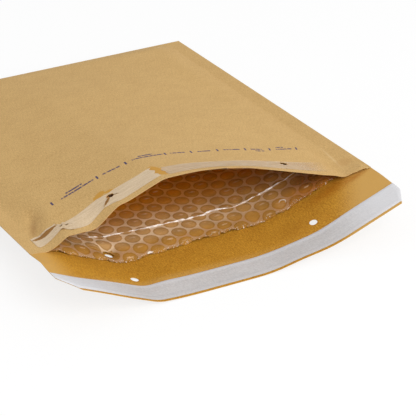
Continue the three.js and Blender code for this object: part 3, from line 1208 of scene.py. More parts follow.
@dataclass(frozen=True)
class PunchedHoles:
    """The round holes through the sheets, in millimetres on the sheet."""

    diameter: float = 5.0
    flap: Triple = (3.4, -20.0, 127.4)
    back: Triple = (-1.0, 11.0, 124.0)
    front: Triple = (3.0, 15.0, 124.0)
    reach: float = 4.0
    sides: int = 24

    @staticmethod
    def places(pair: Triple) -> list[Span]:
        """Give the two places of a pair from its shift across, its place along and its spacing."""
        shift, along, spacing = pair
        return [(shift - spacing / 2.0, along), (shift + spacing / 2.0, along)]

    def cutter(self, form: MailerForm, panels: dict[Panel, list[Span]]) -> bpy.types.Object:
        """Make one object that holds all the punches.

        Args:
            form: The mailer's sizes.
            panels: The places to punch, by panel.

        Returns:
            The cutter object.
        """
        shape = bmesh.new()
        for panel, places in panels.items():
            height = form.back_under if panel is Panel.BACK else form.front_inside
            for across, along in places:
                level = float(height(np.array(across), np.array(along)))
                centre = form.placed(np.array([across]), np.array([along]), np.array([level]))[0]
                made = bmesh.ops.create_cone(
                    shape, cap_ends=True, segments=self.sides, radius1=self.diameter / 2.0 * MM,
                    radius2=self.diameter / 2.0 * MM, depth=2.0 * self.reach * MM)
                bmesh.ops.translate(shape, verts=made["verts"], vec=Vector(centre))
        mesh = bpy.data.meshes.new("punches")
        shape.to_mesh(mesh)
        shape.free()
        return linked("punches", mesh)

    def punch(self, piece: bpy.types.Object, form: MailerForm,
              panels: dict[Panel, list[Span]]) -> None:
        """Cut the holes through a piece and leave it a plain mesh.

        Args:
            piece: The closed piece to cut.
            form: The mailer's sizes.
            panels: The places to punch, by panel.
        """
        tool = self.cutter(form, panels)
        modifier = piece.modifiers.new("holes", "BOOLEAN")
        modifier.operation = "DIFFERENCE"
        modifier.solver = "MANIFOLD"
        modifier.object = tool
        cut = evaluated_mesh(piece)
        piece.modifiers.remove(modifier)
        old = piece.data
        piece.data = cut
        bpy.data.meshes.remove(old)
        bpy.data.objects.remove(tool)


@dataclass
class LayerFaces:
    """Collects the faces on the sheet's layers and the walls between them."""

    number: Array
    faces: Faces = field(default_factory=list)
    slots: list[int] = field(default_factory=list)

    def cover(self, layer: SheetLayer, keep: Array, upward: bool, slot: PaperFace) -> None:
        """Add the quads of one layer.

        Args:
            layer: The layer.
            keep: Which of its grid cells get a quad.
            upward: Whether the quads face up.
            slot: Their material slot.
        """
        grid = self.number[layer]
        corners = [grid[:-1, :-1], grid[:-1, 1:], grid[1:, 1:], grid[1:, :-1]]
        quads = np.stack(corners if upward else corners[::-1], axis=-1)[keep]
        self.faces.extend(map(tuple, quads.tolist()))
        self.slots.extend([slot.value] * len(quads))

    def wall(self, low: SheetLayer, high: SheetLayer, spots: list[tuple[int, int]]) -> None:
        """Add an upright strip between two layers.

        Args:
            low: Its lower layer.
            high: Its upper layer.
            spots: The spots of the grid that it runs along.
        """
        lower, upper = ([int(self.number[layer][spot]) for spot in spots] for layer in (low, high))
        quads = list(zip(lower, lower[1:], upper[1:], upper))
        self.faces.extend(quads)
        self.slots.extend([PaperFace.BACK_OUTSIDE.value] * len(quads))


@dataclass
class KraftSheet:
    """The kraft sheet: back panel, flap and front panel, folded and glued into one pouch."""

    form: MailerForm
    holes: PunchedHoles
    effects: SharedEffects
    step_across: float = 1.65
    step_seam: float = 1.25
    step_near: float = 1.6
    step_far: float = 3.0
    near_end: float = 62.0

    def stations(self) -> tuple[Array, Array]:
        """Space the grid that the mesh is built on.

        Returns:
            Places of the lines across and of the rows along.
        """
        form = self.form

        def spread(start: float, end: float, step: float) -> Array:
            """Give even steps from start up to but not including end."""
            return np.linspace(start, end, max(1, round((end - start) / step)), endpoint=False)

        seam, half = form.seam_line, form.half_width
        across = np.concatenate([
            spread(-half, -seam, self.step_seam), spread(-seam, seam, self.step_across),
            spread(seam, half, self.step_seam), [half],
        ])
        round_start = form.cavity_end - form.closed_edge_round
        along = np.concatenate([
            spread(-form.flap_length, form.corner_start, self.step_near),
            spread(form.corner_start, 0.0, self.step_near),
            spread(0.0, self.near_end, self.step_near),
            spread(self.near_end, round_start, self.step_far),
            spread(round_start, form.cavity_end, self.step_near),
            [form.cavity_end, form.body_length],
        ])
        return across, along

    def mesh(self) -> SheetMesh:
        """Build the closed pouch from its four layers.

        Returns:
            The mesh, with the outer and inner faces in their own slots.
        """
        form = self.form
        lines, rows = self.stations()
        count, depth = len(lines), len(rows)
        along, across = np.meshgrid(rows, lines, indexing="ij")
        across = form.narrowed(across, along)
        heights = [form.back_under, form.back_inside, form.front_inside, form.front_top]
        front_rows = form.front_along(across, along)
        layers = list(zip(heights, (along, along, front_rows, front_rows)))
        points = np.concatenate([form.placed(across, spots, face(across, spots)) for face, spots in layers])
        flat = np.concatenate([np.stack([across, spots], axis=-1).reshape(-1, 2) for _, spots in layers])
        first = int(np.argmin(np.abs(lines + form.seam_line)))
        last = int(np.argmin(np.abs(lines - form.seam_line)))
        mouth = int(np.argmin(np.abs(rows)))
        end = int(np.argmin(np.abs(rows - form.cavity_end)))
        loose = int(np.searchsorted(rows, form.loose_length))
        loose_edge = count - 2
        under, floor, roof, top = SheetLayer
        number = np.arange(len(SheetLayer) * depth * count).reshape(len(SheetLayer), depth, count)
        joined = np.ones((depth, count), bool)
        joined[:end, first + 1:last] = False
        joined[mouth:loose, last:loose_edge] = False
        number[roof][joined] = number[floor][joined]
        everywhere = np.ones((depth - 1, count - 1), bool)
        body = everywhere.copy()
        body[:mouth] = False
        cavity = np.zeros_like(body)
        cavity[mouth:end, first:last] = True
        cavity[mouth:loose, last:loose_edge] = True
        made = LayerFaces(number)
        made.cover(under, everywhere, False, PaperFace.BACK_OUTSIDE)
        made.cover(top, body, True, PaperFace.FRONT_OUTSIDE)
        made.cover(floor, ~body | cavity, True, PaperFace.INSIDE)
        made.cover(roof, cavity, False, PaperFace.INSIDE)
        right = [(j, count - 1) for j in range(depth)]
        left = [(j, 0) for j in reversed(range(depth))]
        closed_end = [(depth - 1, i) for i in reversed(range(count))]
        for side in (right, left):
            made.wall(under, floor, side)
            made.wall(floor, top, [spot for spot in side if spot[0] >= mouth])
        made.wall(under, floor, [(0, i) for i in range(count)])
        made.wall(roof, top, [(mouth, i) for i in range(count)])
        made.wall(under, floor, closed_end)
        made.wall(floor, top, closed_end)
        return SheetMesh(points, flat, made.faces, made.slots)

    def finishes(self) -> list[KraftFinish]:
        """Give the three faces' finishes in slot order.

        Returns:
            The back's, the front's and the inside's finish.
        """
        fleck, hair = colour(150, 112, 64), colour(222, 194, 146)
        back = KraftFinish("kraft_back", colour(184, 147, 92), colour(211, 175, 118), fleck, hair)
        front = KraftFinish(
            "kraft_front", colour(182, 145, 88), colour(213, 177, 118), fleck, hair,
            print_row=PrintedRow(),
            marks=(
                # Painted shade in the soft fold near the left seam.
                (colour(156, 116, 70), 0.55, (Mark(-104.2, 31.5, 3.4, 17.0, -0.42, solid=0.0),)),
                # Painted highlight along the crease of the right side seam.
                (colour(224, 196, 148), 0.4, (Mark(108.4, 26.0, 1.1, 22.0, -0.12, solid=0.1),)),
                # Painted shadow at the right mouth corner.
                (colour(182, 140, 84), 0.4, (Mark(111.6, 16.0, 6.5, 6.0, 0.3, solid=0.5),)),
                (colour(194, 142, 54), 0.9, (
                    Mark(-63.0, 22.6, 4.8, 2.8, 0.5), Mark(-25.6, 15.0, 3.6, 9.5, 0.12),
                    Mark(-107.6, 20.2, 2.6, 1.3, 0.2), Mark(-57.0, 21.0, 3.0, 1.4, -0.3),
                )),
                # Painted shade in the tears under the tape's slits.
                (colour(142, 96, 42), 0.9, (
                    Mark(-102.0, 18.0, 8.0, 2.4, 0.08), Mark(-62.5, 12.0, 1.4, 4.2, -0.5),
                    Mark(-56.0, 13.5, 2.6, 0.6, -0.6),
                )),
            ),
        )
        inside = KraftFinish(
            "kraft_inside", colour(155, 100, 15), colour(206, 152, 49), colour(136, 86, 22),
            # The ends colour is painted light on the flap's raised ends.
            colour(214, 170, 90), roughness=(0.6, 0.8), ends=colour(200, 156, 84),
            # The pocket colour is painted warm bounce shade deep in the pocket.
            pocket_bounce_shade=colour(196, 122, 26), fineness=1.3,
            marks=(
                # Painted shadow of the front lip on the flap at the right.
                (colour(158, 90, 0), 0.6, (
                    Mark(90.0, -2.0, 24.0, 8.0, 0.05, solid=0.0), Mark(108.0, -4.0, 10.0, 4.0, solid=0.0),
                )),
                (colour(212, 172, 102), 0.34, (Mark(-30.0, -28.0, 95.0, 7.0, solid=0.0),)),
                # Painted shade on the flap right of the middle.
                (colour(150, 94, 8), 0.3, (Mark(58.0, -18.0, 34.0, 13.0, solid=0.0),)),
            ))
        return [back, front, inside]

    def build(self) -> None:
        """Build, punch and dress the sheet."""
        materials = [finish.material(self.effects) for finish in self.finishes()]
        piece = self.mesh().to_object("kraft_envelope_paper", materials)
        holes = self.holes
        holes.punch(piece, self.form, {
            Panel.BACK: holes.places(holes.flap) + holes.places(holes.back),
            Panel.FRONT: holes.places(holes.front),
        })
        hand_over(piece, "kraft_paper", "kraft_envelope")


@dataclass
class BubbleLiner:
    """The bubble film: a flat film towards the pocket and a formed film of bubbles behind it.

    The code and its spread turn a bubble's place in the lattice into a share of its own. The swell
    of the crease is a factor with the least and the greatest share of its width, and its ends are
    the length of their taper and the share that is left.
    """

    form: MailerForm
    holes: PunchedHoles
    effects: SharedEffects
    pitch: float = 11.6
    phase: Span = (18.75, 9.0)
    bubble_radius: float = 4.95
    rings: tuple[float, ...] = (2.6, 4.35, 4.95)
    ring_sides: int = 12
    crown: float = 0.35
    web_thickness: float = 0.12
    paper_clearance: float = 0.12
    half_width: float = 105.0
    mouth_setback: float = 1.6
    hole_diameter: float = 7.0
    front_setback: float = 14.0
    least_fill: float = 0.82
    bubble_code: tuple[int, int, int, int] = (97, 13, 7, 5000)
    code_spread: tuple[int, int] = (7919, 101)
    cut_tolerance: float = 0.001
    least_edge: float = 0.02
    press_reach: float = 6.0
    press_share: float = 0.86
    length: float = 268.0
    mouth_edge: tuple[Span, ...] = (
        (-105.0, 2.6), (-85.0, 0.2), (-55.0, 0.2), (-20.0, 2.0), (0.0, 3.2), (20.0, 3.4),
        (41.0, 0.2), (64.0, 2.0), (90.0, 3.2),
    )
    ragged_reach: float = 9.0
    ragged_along: float = 1.3
    ragged_height: float = 0.25
    ragged_step: float = 1.1
    ragged_margin: float = 2.0
    ragged_slow: int = 6
    ragged_shares: Span = (0.55, 0.45)
    edge_taper: float = 13.0
    edge_share: float = 0.17
    weld_distance: float = 0.2
    crease_path: tuple[Span, ...] = (
        (-80.0, 22.0), (-72.0, 27.0), (-60.0, 30.5), (-45.0, 30.0), (-30.0, 28.6), (-10.0, 27.4),
        (12.0, 26.4), (16.0, 28.2), (24.0, 28.4), (31.0, 25.0), (43.0, 25.6), (60.0, 27.4), (78.0, 29.0),
        (90.0, 31.5),
    )
    crease_half_width: float = 0.6
    crease_height: float = 0.7
    crease_foot: tuple[Span, ...] = ((-1.0, 0.0), (0.0, -0.4), (1.0, 0.0))
    crease_lean: float = 0.2
    crease_step: float = 0.8
    crease_breaks: int = 4
    crease_swell: Triple = (1.7, 0.25, 1.15)
    crease_ends: Span = (12.0, 0.08)
    crease_wander: tuple[int, float] = (6, 0.3)
    film_sharp_angle: float = 55.0
    crease_sharp_angle: float = 70.0

    def cell(self) -> bpy.types.Object:
        """Make one flat cell of the lattice: rings around a bubble, out to its six-sided border.

        Returns:
            The cell's object.
        """
        shape = bmesh.new()
        centre = shape.verts.new((0.0, 0.0, 0.0))
        angles = [2.0 * math.pi * k / self.ring_sides for k in range(self.ring_sides)]
        corner, flat = self.pitch / math.sqrt(3.0), self.pitch / 2.0
        loops = []
        for radius in self.rings:
            loops.append([shape.verts.new((radius * math.cos(a) * MM, radius * math.sin(a) * MM, 0.0))
                          for a in angles])
        border = [corner if k % 2 == 0 else flat for k in range(self.ring_sides)]
        loops.append([shape.verts.new((r * math.cos(a) * MM, r * math.sin(a) * MM, 0.0))
                      for r, a in zip(border, angles)])
        following = [*range(1, self.ring_sides), 0]
        for k, after in enumerate(following):
            shape.faces.new((centre, loops[0][k], loops[0][after]))
            for inner, outer in zip(loops, loops[1:]):
                shape.faces.new((inner[k], outer[k], outer[after], inner[after]))
        mesh = bpy.data.meshes.new("bubble_cell")
        shape.to_mesh(mesh)
        shape.free()
        return linked("bubble_cell", mesh)

    @staticmethod
    def lattice_tree() -> bpy.types.NodeTree:
        """Build the nodes that repeat one cell over a six-sided lattice.

        Returns:
            The tree, with inputs for the pitch, the counts, the start and the material.
        """
        tree = bpy.data.node_groups.new("bubble lattice", "GeometryNodeTree")
        sockets = (
            ("Geometry", "NodeSocketGeometry"), ("Pitch", "NodeSocketFloat"),
            ("Columns", "NodeSocketInt"), ("Rows", "NodeSocketInt"), ("Start", "NodeSocketVector"),
            ("Weld", "NodeSocketFloat"), ("Film", "NodeSocketMaterial"),
        )
        for title, kind in sockets:
            tree.interface.new_socket(title, in_out="INPUT", socket_type=kind)
        tree.interface.new_socket("Geometry", in_out="OUTPUT", socket_type="NodeSocketGeometry")
        pad = NodePad(tree)
        source = pad.add("NodeGroupInput").outputs
        index = pad.add("GeometryNodeInputIndex").outputs[0]
        column = pad.math("FLOOR", pad.math("DIVIDE", index, source["Rows"]))
        row = pad.math("MODULO", index, source["Rows"])
        half_step = pad.times(pad.math("MODULO", column, 2.0), 0.5)
        across = pad.times(column, source["Pitch"], HEX_COLUMN)
        along = pad.times(pad.math("ADD", row, half_step), source["Pitch"])
        spot = pad.vector("ADD", pad.joined(across, along), source["Start"])
        total = pad.times(source["Columns"], source["Rows"])
        points = pad.add("GeometryNodePoints", {"Count": total, "Position": spot}).outputs[0]
        placed = pad.add("GeometryNodeInstanceOnPoints", {"Points": points, "Instance": source["Geometry"]})
        real = pad.add("GeometryNodeRealizeInstances", {0: placed.outputs[0]}).outputs[0]
        welded = pad.add("GeometryNodeMergeByDistance", {"Geometry": real, "Distance": source["Weld"]})
        dress = {"Geometry": welded.outputs[0], "Material": source["Film"]}
        pad.add("NodeGroupOutput", {0: pad.add("GeometryNodeSetMaterial", dress).outputs[0]})
        return tree

    def start(self) -> tuple[float, float, int, int]:
        """Give the first bubble's place and the counts of columns and rows that cover the liner.

        Returns:
            Its place across and along, then the counts of columns and rows.
        """
        column = self.pitch * HEX_COLUMN
        pair = 2.0 * column
        across = self.phase[0] - pair * math.ceil((self.phase[0] + self.half_width + pair) / pair)
        along = self.phase[1] - self.pitch * math.ceil((self.phase[1] + 2.0 * self.pitch) / self.pitch)
        columns = math.ceil((self.half_width + column - across) / column) + 1
        rows = math.ceil((self.length + self.pitch - along) / self.pitch) + 1
        return across, along, columns, rows

    def flat_sheet(self, film: bpy.types.Material,
                   setback: float) -> tuple[Array, Faces, list[tuple[int, int]]]:
        """Repeat the cell and cut the sheet to the liner's outline.

        Args:
            film: The film's material.
            setback: How far its cut edge lies behind the mouth.

        Returns:
            Places on the flat sheet, the faces, and the border's edges in their faces' direction.
        """
        across, along, columns, rows = self.start()
        cell = self.cell()
        tree = self.lattice_tree()
        modifier = cell.modifiers.new("lattice", "NODES")
        modifier.node_group = tree
        values = {
            "Pitch": self.pitch * MM, "Columns": columns, "Rows": rows,
            "Start": (across * MM, along * MM, 0.0), "Weld": self.weld_distance * MM, "Film": film,
        }
        for item in tree.interface.items_tree:
            if item.in_out == "INPUT" and item.name in values:
                modifier[item.identifier] = values[item.name]
        lattice = evaluated_mesh(cell)
        cell.modifiers.remove(modifier)
        shape = bmesh.new()
        shape.from_mesh(lattice)
        cuts = (
            ((-self.half_width, 0.0), (-1.0, 0.0)), ((self.half_width, 0.0), (1.0, 0.0)),
            ((0.0, setback), (0.0, -1.0)), ((0.0, self.length), (0.0, 1.0)),
        )
        for spot, outward in cuts:
            bmesh.ops.bisect_plane(
                shape, geom=shape.verts[:] + shape.edges[:] + shape.faces[:], dist=self.cut_tolerance * MM,
                plane_co=(spot[0] * MM, spot[1] * MM, 0.0), plane_no=(*outward, 0.0), clear_outer=True)
        bmesh.ops.dissolve_degenerate(shape, dist=self.least_edge * MM, edges=shape.edges[:])
        shape.verts.index_update()
        places = np.array([vert.co[:2] for vert in shape.verts]) / MM
        faces = [tuple(vert.index for vert in face.verts) for face in shape.faces]
        border = []
        for edge in shape.edges:
            if len(edge.link_loops) == 1:
                loop = edge.link_loops[0]
                border.append((loop.vert.index, loop.link_loop_next.vert.index))
        shape.free()
        bpy.data.objects.remove(cell)
        bpy.data.meshes.remove(lattice)
        return places, faces, border

    def centres(self, places: Array) -> tuple[Array, Array]:
        """Find each place's nearest bubble.

        Args:
            places: Places on the flat sheet.

        Returns:
            Each place from its bubble's centre, and a share from 0 to 1 that is the bubble's own.
        """
        *code_steps, lane_step, code_start = self.bubble_code
        cell = np.array([2.0 * self.pitch * HEX_COLUMN, self.pitch])
        best = np.full(len(places), np.inf)
        local = np.zeros_like(places)
        name = np.zeros(len(places), int)
        for lane, shift in enumerate(((0.0, 0.0), (cell[0] / 2.0, cell[1] / 2.0))):
            steps = (places - np.array(self.phase) - np.array(shift)) / cell
            whole = np.round(steps)
            offset = (steps - whole) * cell
            away = np.linalg.norm(offset, axis=1)
            number = whole.astype(int) @ code_steps + lane * lane_step + code_start
            local = np.where((away < best)[:, None], offset, local)
            name = np.where(away < best, number, name)
            best = np.minimum(best, away)
        factor, shares = self.code_spread
        return local, (name * factor % shares) / (shares - 1.0)

    def thickness(self, across: Array, along: Array) -> Array:
        """Give the depth of film and bubbles, which sinks at the cut mouth edge.

        Args:
            across: Places across the sheet.
            along: Places along the sheet.

        Returns:
            The depth at each place.
        """
        form = self.form
        room = form.front_inside(across, along) - form.back_inside(across, along) - 2.0 * form.contact_gap
        depth = np.clip((room - form.pocket_slack) / 2.0, self.web_thickness * 2.0, form.bubble_film)
        near = np.clip((along - self.mouth_setback) / self.edge_taper, 0.0, 1.0)
        depth = depth * (self.edge_share + (1.0 - self.edge_share) * np.sin(near * np.pi / 2.0))
        hole_across, hole_along = self.holes.places(self.holes.back)[0]
        away = np.hypot(across - hole_across, along - hole_along) / self.press_reach
        return depth * (1.0 - self.press_share * np.exp(-away ** 4))

    def ragged(self, places: Array) -> tuple[Array, Array]:
        """Make the cut mouth edge uneven.

        Args:
            places: Places on the flat sheet.

        Returns:
            The moved places and a small lift for each.
        """
        draw = np.random.default_rng(SEED)
        end = self.half_width + self.ragged_margin
        knots = np.arange(-end, end, self.ragged_step)

        def wave(stops: Array) -> Array:
            """Give a random wave across the sheet with one value at each stop."""
            return np.interp(places[:, 0], stops, draw.uniform(-1.0, 1.0, len(stops)))

        quick, slow, lift = wave(knots), wave(knots[::self.ragged_slow]), wave(knots)
        uneven = self.ragged_shares[0] * quick + self.ragged_shares[1] * slow
        near = np.clip(1.0 - (places[:, 1] - self.mouth_setback) / self.ragged_reach, 0.0, 1.0)
        moved = places.copy()
        cut = np.interp(places[:, 0], *zip(*self.mouth_edge))
        moved[:, 1] += near * (cut + self.ragged_along * uneven)
        return moved, near ** 3 * self.ragged_height * lift

    def sheet(self, panel: Panel, places: Array, faces: Faces,
              border: list[tuple[int, int]]) -> SheetMesh:
        """Give the flat lattice its bubbles and lay it on one panel.

        Args:
            panel: The panel that the film lies on.
            places: Places on the flat sheet.
            faces: The lattice's faces.
            border: The border's edges.

        Returns:
            The closed film of that panel.
        """
        form = self.form
        local, own = self.centres(places)
        fill = self.least_fill + (1.0 - self.least_fill) * own
        inside = np.clip(1.0 - (np.linalg.norm(local, axis=1) / self.bubble_radius) ** 2, 0.0, 1.0)
        moved, lift = self.ragged(places)
        across, along = moved[:, 0], moved[:, 1]
        web = self.thickness(across, along) - self.crown + lift
        flat_film = web + self.crown * inside * fill
        formed = web - self.web_thickness
        formed = formed - np.maximum(formed - self.paper_clearance, 0.0) * np.sqrt(inside) * fill
        if panel is Panel.BACK:
            base = form.back_inside(across, along) + form.contact_gap
            upper, lower = base + flat_film, base + formed
        else:
            base = form.front_inside(across, along) - form.contact_gap
            upper, lower = base - formed, base - flat_film
        count = len(places)
        points = np.concatenate([form.placed(across, along, upper), form.placed(across, along, lower)])
        shell = list(faces)
        shell += [tuple(count + corner for corner in reversed(face)) for face in faces]
        shell += [(b, a, count + a, count + b) for a, b in border]
        own_place = np.column_stack([local, own])
        return SheetMesh(points, np.tile(places, (2, 1)), shell, bubble_place=np.tile(own_place, (2, 1)))

    def build(self) -> None:
        """Build both panels' film as one liner, dress it and add its fold."""
        film = FilmFinish().material(self.effects)
        back = self.sheet(Panel.BACK, *self.flat_sheet(film, self.mouth_setback))
        front = self.sheet(Panel.FRONT, *self.flat_sheet(film, self.front_setback))
        shift = len(back.points)
        whole = SheetMesh(
            np.concatenate([back.points, front.points]), np.concatenate([back.flat, front.flat]),
            back.faces + [tuple(shift + corner for corner in face) for face in front.faces],
            bubble_place=np.concatenate([back.bubble_place, front.bubble_place]),
        )
        piece = whole.to_object("bubble_liner_film", [film], self.film_sharp_angle)
        holes = replace(self.holes, diameter=self.hole_diameter)
        holes.punch(piece, self.form, {
            Panel.BACK: holes.places(holes.back)[:1], Panel.FRONT: holes.places(holes.front),
        })
        hand_over(piece, "bubble_film", "bubble_liner")
        self.crease()

    def crease(self) -> None:
        """Build the pinched fold that stands up along the film behind the mouth."""
        form = self.form
        draw = np.random.default_rng(SEED + 3)
        across = np.arange(self.crease_path[0][0], self.crease_path[-1][0], self.crease_step)

        def wave(every: int, low: float, high: float) -> Array:
            """Give a random wave along the fold with a new value at every so many steps."""
            return np.interp(across, across[::every], draw.uniform(low, high, len(across[::every])))

        swell, thinnest, widest = self.crease_swell
        breaks = wave(self.crease_breaks, 0.0, 1.0)
        width = self.crease_half_width * np.clip(swell * breaks, thinnest, widest)
        ends = np.minimum(across - across[0], across[-1] - across)
        width = width * np.clip(ends / self.crease_ends[0], self.crease_ends[1], 1.0)
        every, stray = self.crease_wander
        along = np.interp(across, *zip(*self.crease_path)) + wave(every, -stray, stray)
        base = form.back_inside(across, along) + form.contact_gap
        base = base + self.thickness(across, along) - self.crown
        ring = [*self.crease_foot, (self.crease_lean, self.crease_height / self.crease_half_width)]
        points = [form.placed(across, along + side * width, base + rise * width) for side, rise in ring]
        flat = [np.column_stack([across, along + side * width]) for side, _ in ring]
        count, total = len(across), len(ring)
        faces = []
        for turn in range(total):
            this, after = turn * count, (turn + 1) % total * count
            faces += [(this + k, after + k, after + k + 1, this + k + 1) for k in range(count - 1)]
        faces.append(tuple(turn * count for turn in reversed(range(total))))
        faces.append(tuple(turn * count + count - 1 for turn in range(total)))
        # Whitish fold: stress-whitened film, partly a painted highlight along the fold.
        finish = StripFinish("film_crease", colour(236, 216, 196), colour(255, 250, 244), (0.15, 0.3),
                             stretch=3.0, cover=(0.5, 0.95), specular=0.9)
        mesh = SheetMesh(np.concatenate(points), np.concatenate(flat), faces)
        dress = [finish.material(self.effects)]
        piece = mesh.to_object("bubble_liner_crease", dress, self.crease_sharp_angle)
        hand_over(piece, "bubble_film")


@dataclass
class ClosingStrip:
    """The release paper on the flap and the band of adhesive under it."""

    form: MailerForm
    effects: SharedEffects
    outer: float = -48.1
    inner: float = -29.2
    adhesive_margin: float = 1.5
    adhesive: float = 0.2
    release_paper: float = 0.25
    edge_lift: float = 0.05
    step: float = 1.6
    rows: int = 14

    def slab(self, outer: float, inner: float, margin: float, lift: float, thickness: float) -> SheetMesh:
        """Build a thin closed slab that follows the flap.

        Args:
            outer: Its edge nearest the flap's end.
            inner: Its edge nearest the mouth.
            margin: How far its ends stay inside the flap's sides.
            lift: Its height above the paper.
            thickness: Its thickness.

        Returns:
            The slab's mesh.
        """
        form = self.form
        half = form.half_width - margin
        lines = np.linspace(-half, half, round(2.0 * half / self.step) + 1)
        rows = np.linspace(outer, inner, self.rows + 1)
        along, across = np.meshgrid(rows, lines, indexing="ij")
        across = form.narrowed(across, along)
        pressed = np.full(across.shape, lift)
        pressed[[0, -1]] = pressed[:, [0, -1]] = self.edge_lift
        under = form.back_inside(across, along) + pressed
        return closed_slab(form, across, along, under, under + thickness)

    def build(self) -> None:
        """Build and dress both strips."""
        gap = self.form.contact_gap
        glue = StripFinish(
            "adhesive", colour(206, 196, 156), colour(220, 212, 176), (0.25, 0.45), stretch=4.0)
        white = StripFinish(
            "release_paper", colour(183, 180, 179), colour(204, 201, 200), (0.45, 0.65),
            stretch=5.0, edge_lines=(self.outer, self.inner), grain_share=0.75, fineness=1.1)
        margin = self.adhesive_margin
        band = self.slab(self.outer + margin, self.inner - margin, margin, gap, self.adhesive)
        strip = self.slab(self.outer, self.inner, 0.0, 2.0 * gap + self.adhesive, self.release_paper)
        band_piece = band.to_object("adhesive_band_glue", [glue.material(self.effects)])
        strip_piece = strip.to_object("release_strip_paper", [white.material(self.effects)])
        hand_over(band_piece, "adhesive", "adhesive_band")
        hand_over(strip_piece, "release_paper", "release_strip")


def closed_slab(form: MailerForm, across: Array, along: Array, under: Array, top: Array,
                keep: Array | None = None) -> SheetMesh:
    """Build a closed sheet between two heights on a grid, with any cells left out.

    Args:
        form: The mailer's sizes.
        across: Places across, as a grid.
        along: Places along, as a grid.
        under: Heights of the lower face.
        top: Heights of the upper face.
        keep: Which grid cells are there, or all of them.

    Returns:
        The closed mesh.
    """
    depth, count = across.shape
    keep = np.ones((depth - 1, count - 1), bool) if keep is None else keep
    number = np.arange(depth * count).reshape(depth, count)
    corners = np.stack([number[:-1, :-1], number[:-1, 1:], number[1:, 1:], number[1:, :-1]], axis=-1)
    quads = corners[keep]
    total = depth * count
    faces = [tuple(total + corner for corner in quad) for quad in quads.tolist()]
    faces += [tuple(reversed(quad)) for quad in quads.tolist()]
    edges = {(a, b) for quad in quads.tolist() for a, b in zip(quad, quad[1:] + quad[:1])}
    faces += [(a, b, total + b, total + a) for a, b in edges if (b, a) not in edges]
    points = np.concatenate([form.placed(across, along, under), form.placed(across, along, top)])
    flat = np.tile(np.stack([across, along], axis=-1).reshape(-1, 2), (2, 1))
    return SheetMesh(points, flat, faces)


@dataclass(frozen=True)
class Slit:
    """A narrow tear through the tape, from one place on the sheet to another, in millimetres."""

    start: Span
    end: Span
    half_width: float
    end_width: float = 0.25
    end_share: float = 0.02

    def away(self, across: Array, along: Array) -> Array:
        """Give how far each place is from the tear's line, as a share of its half width.

        Args:
            across: Places across the sheet.
            along: Places along the sheet.

        Returns:
            Below 1 inside the tear, which narrows towards both ends.
        """
        from_start = np.stack([across - self.start[0], along - self.start[1]], axis=-1)
        run = np.array(self.end) - np.array(self.start)
        share = np.clip(from_start @ run / (run @ run), 0.0, 1.0)
        gap = np.linalg.norm(from_start - share[..., None] * run, axis=-1)
        swell = np.sin(np.pi * np.clip(share, self.end_share, 1.0 - self.end_share))
        return gap / (self.half_width * (self.end_width + (1.0 - self.end_width) * swell))


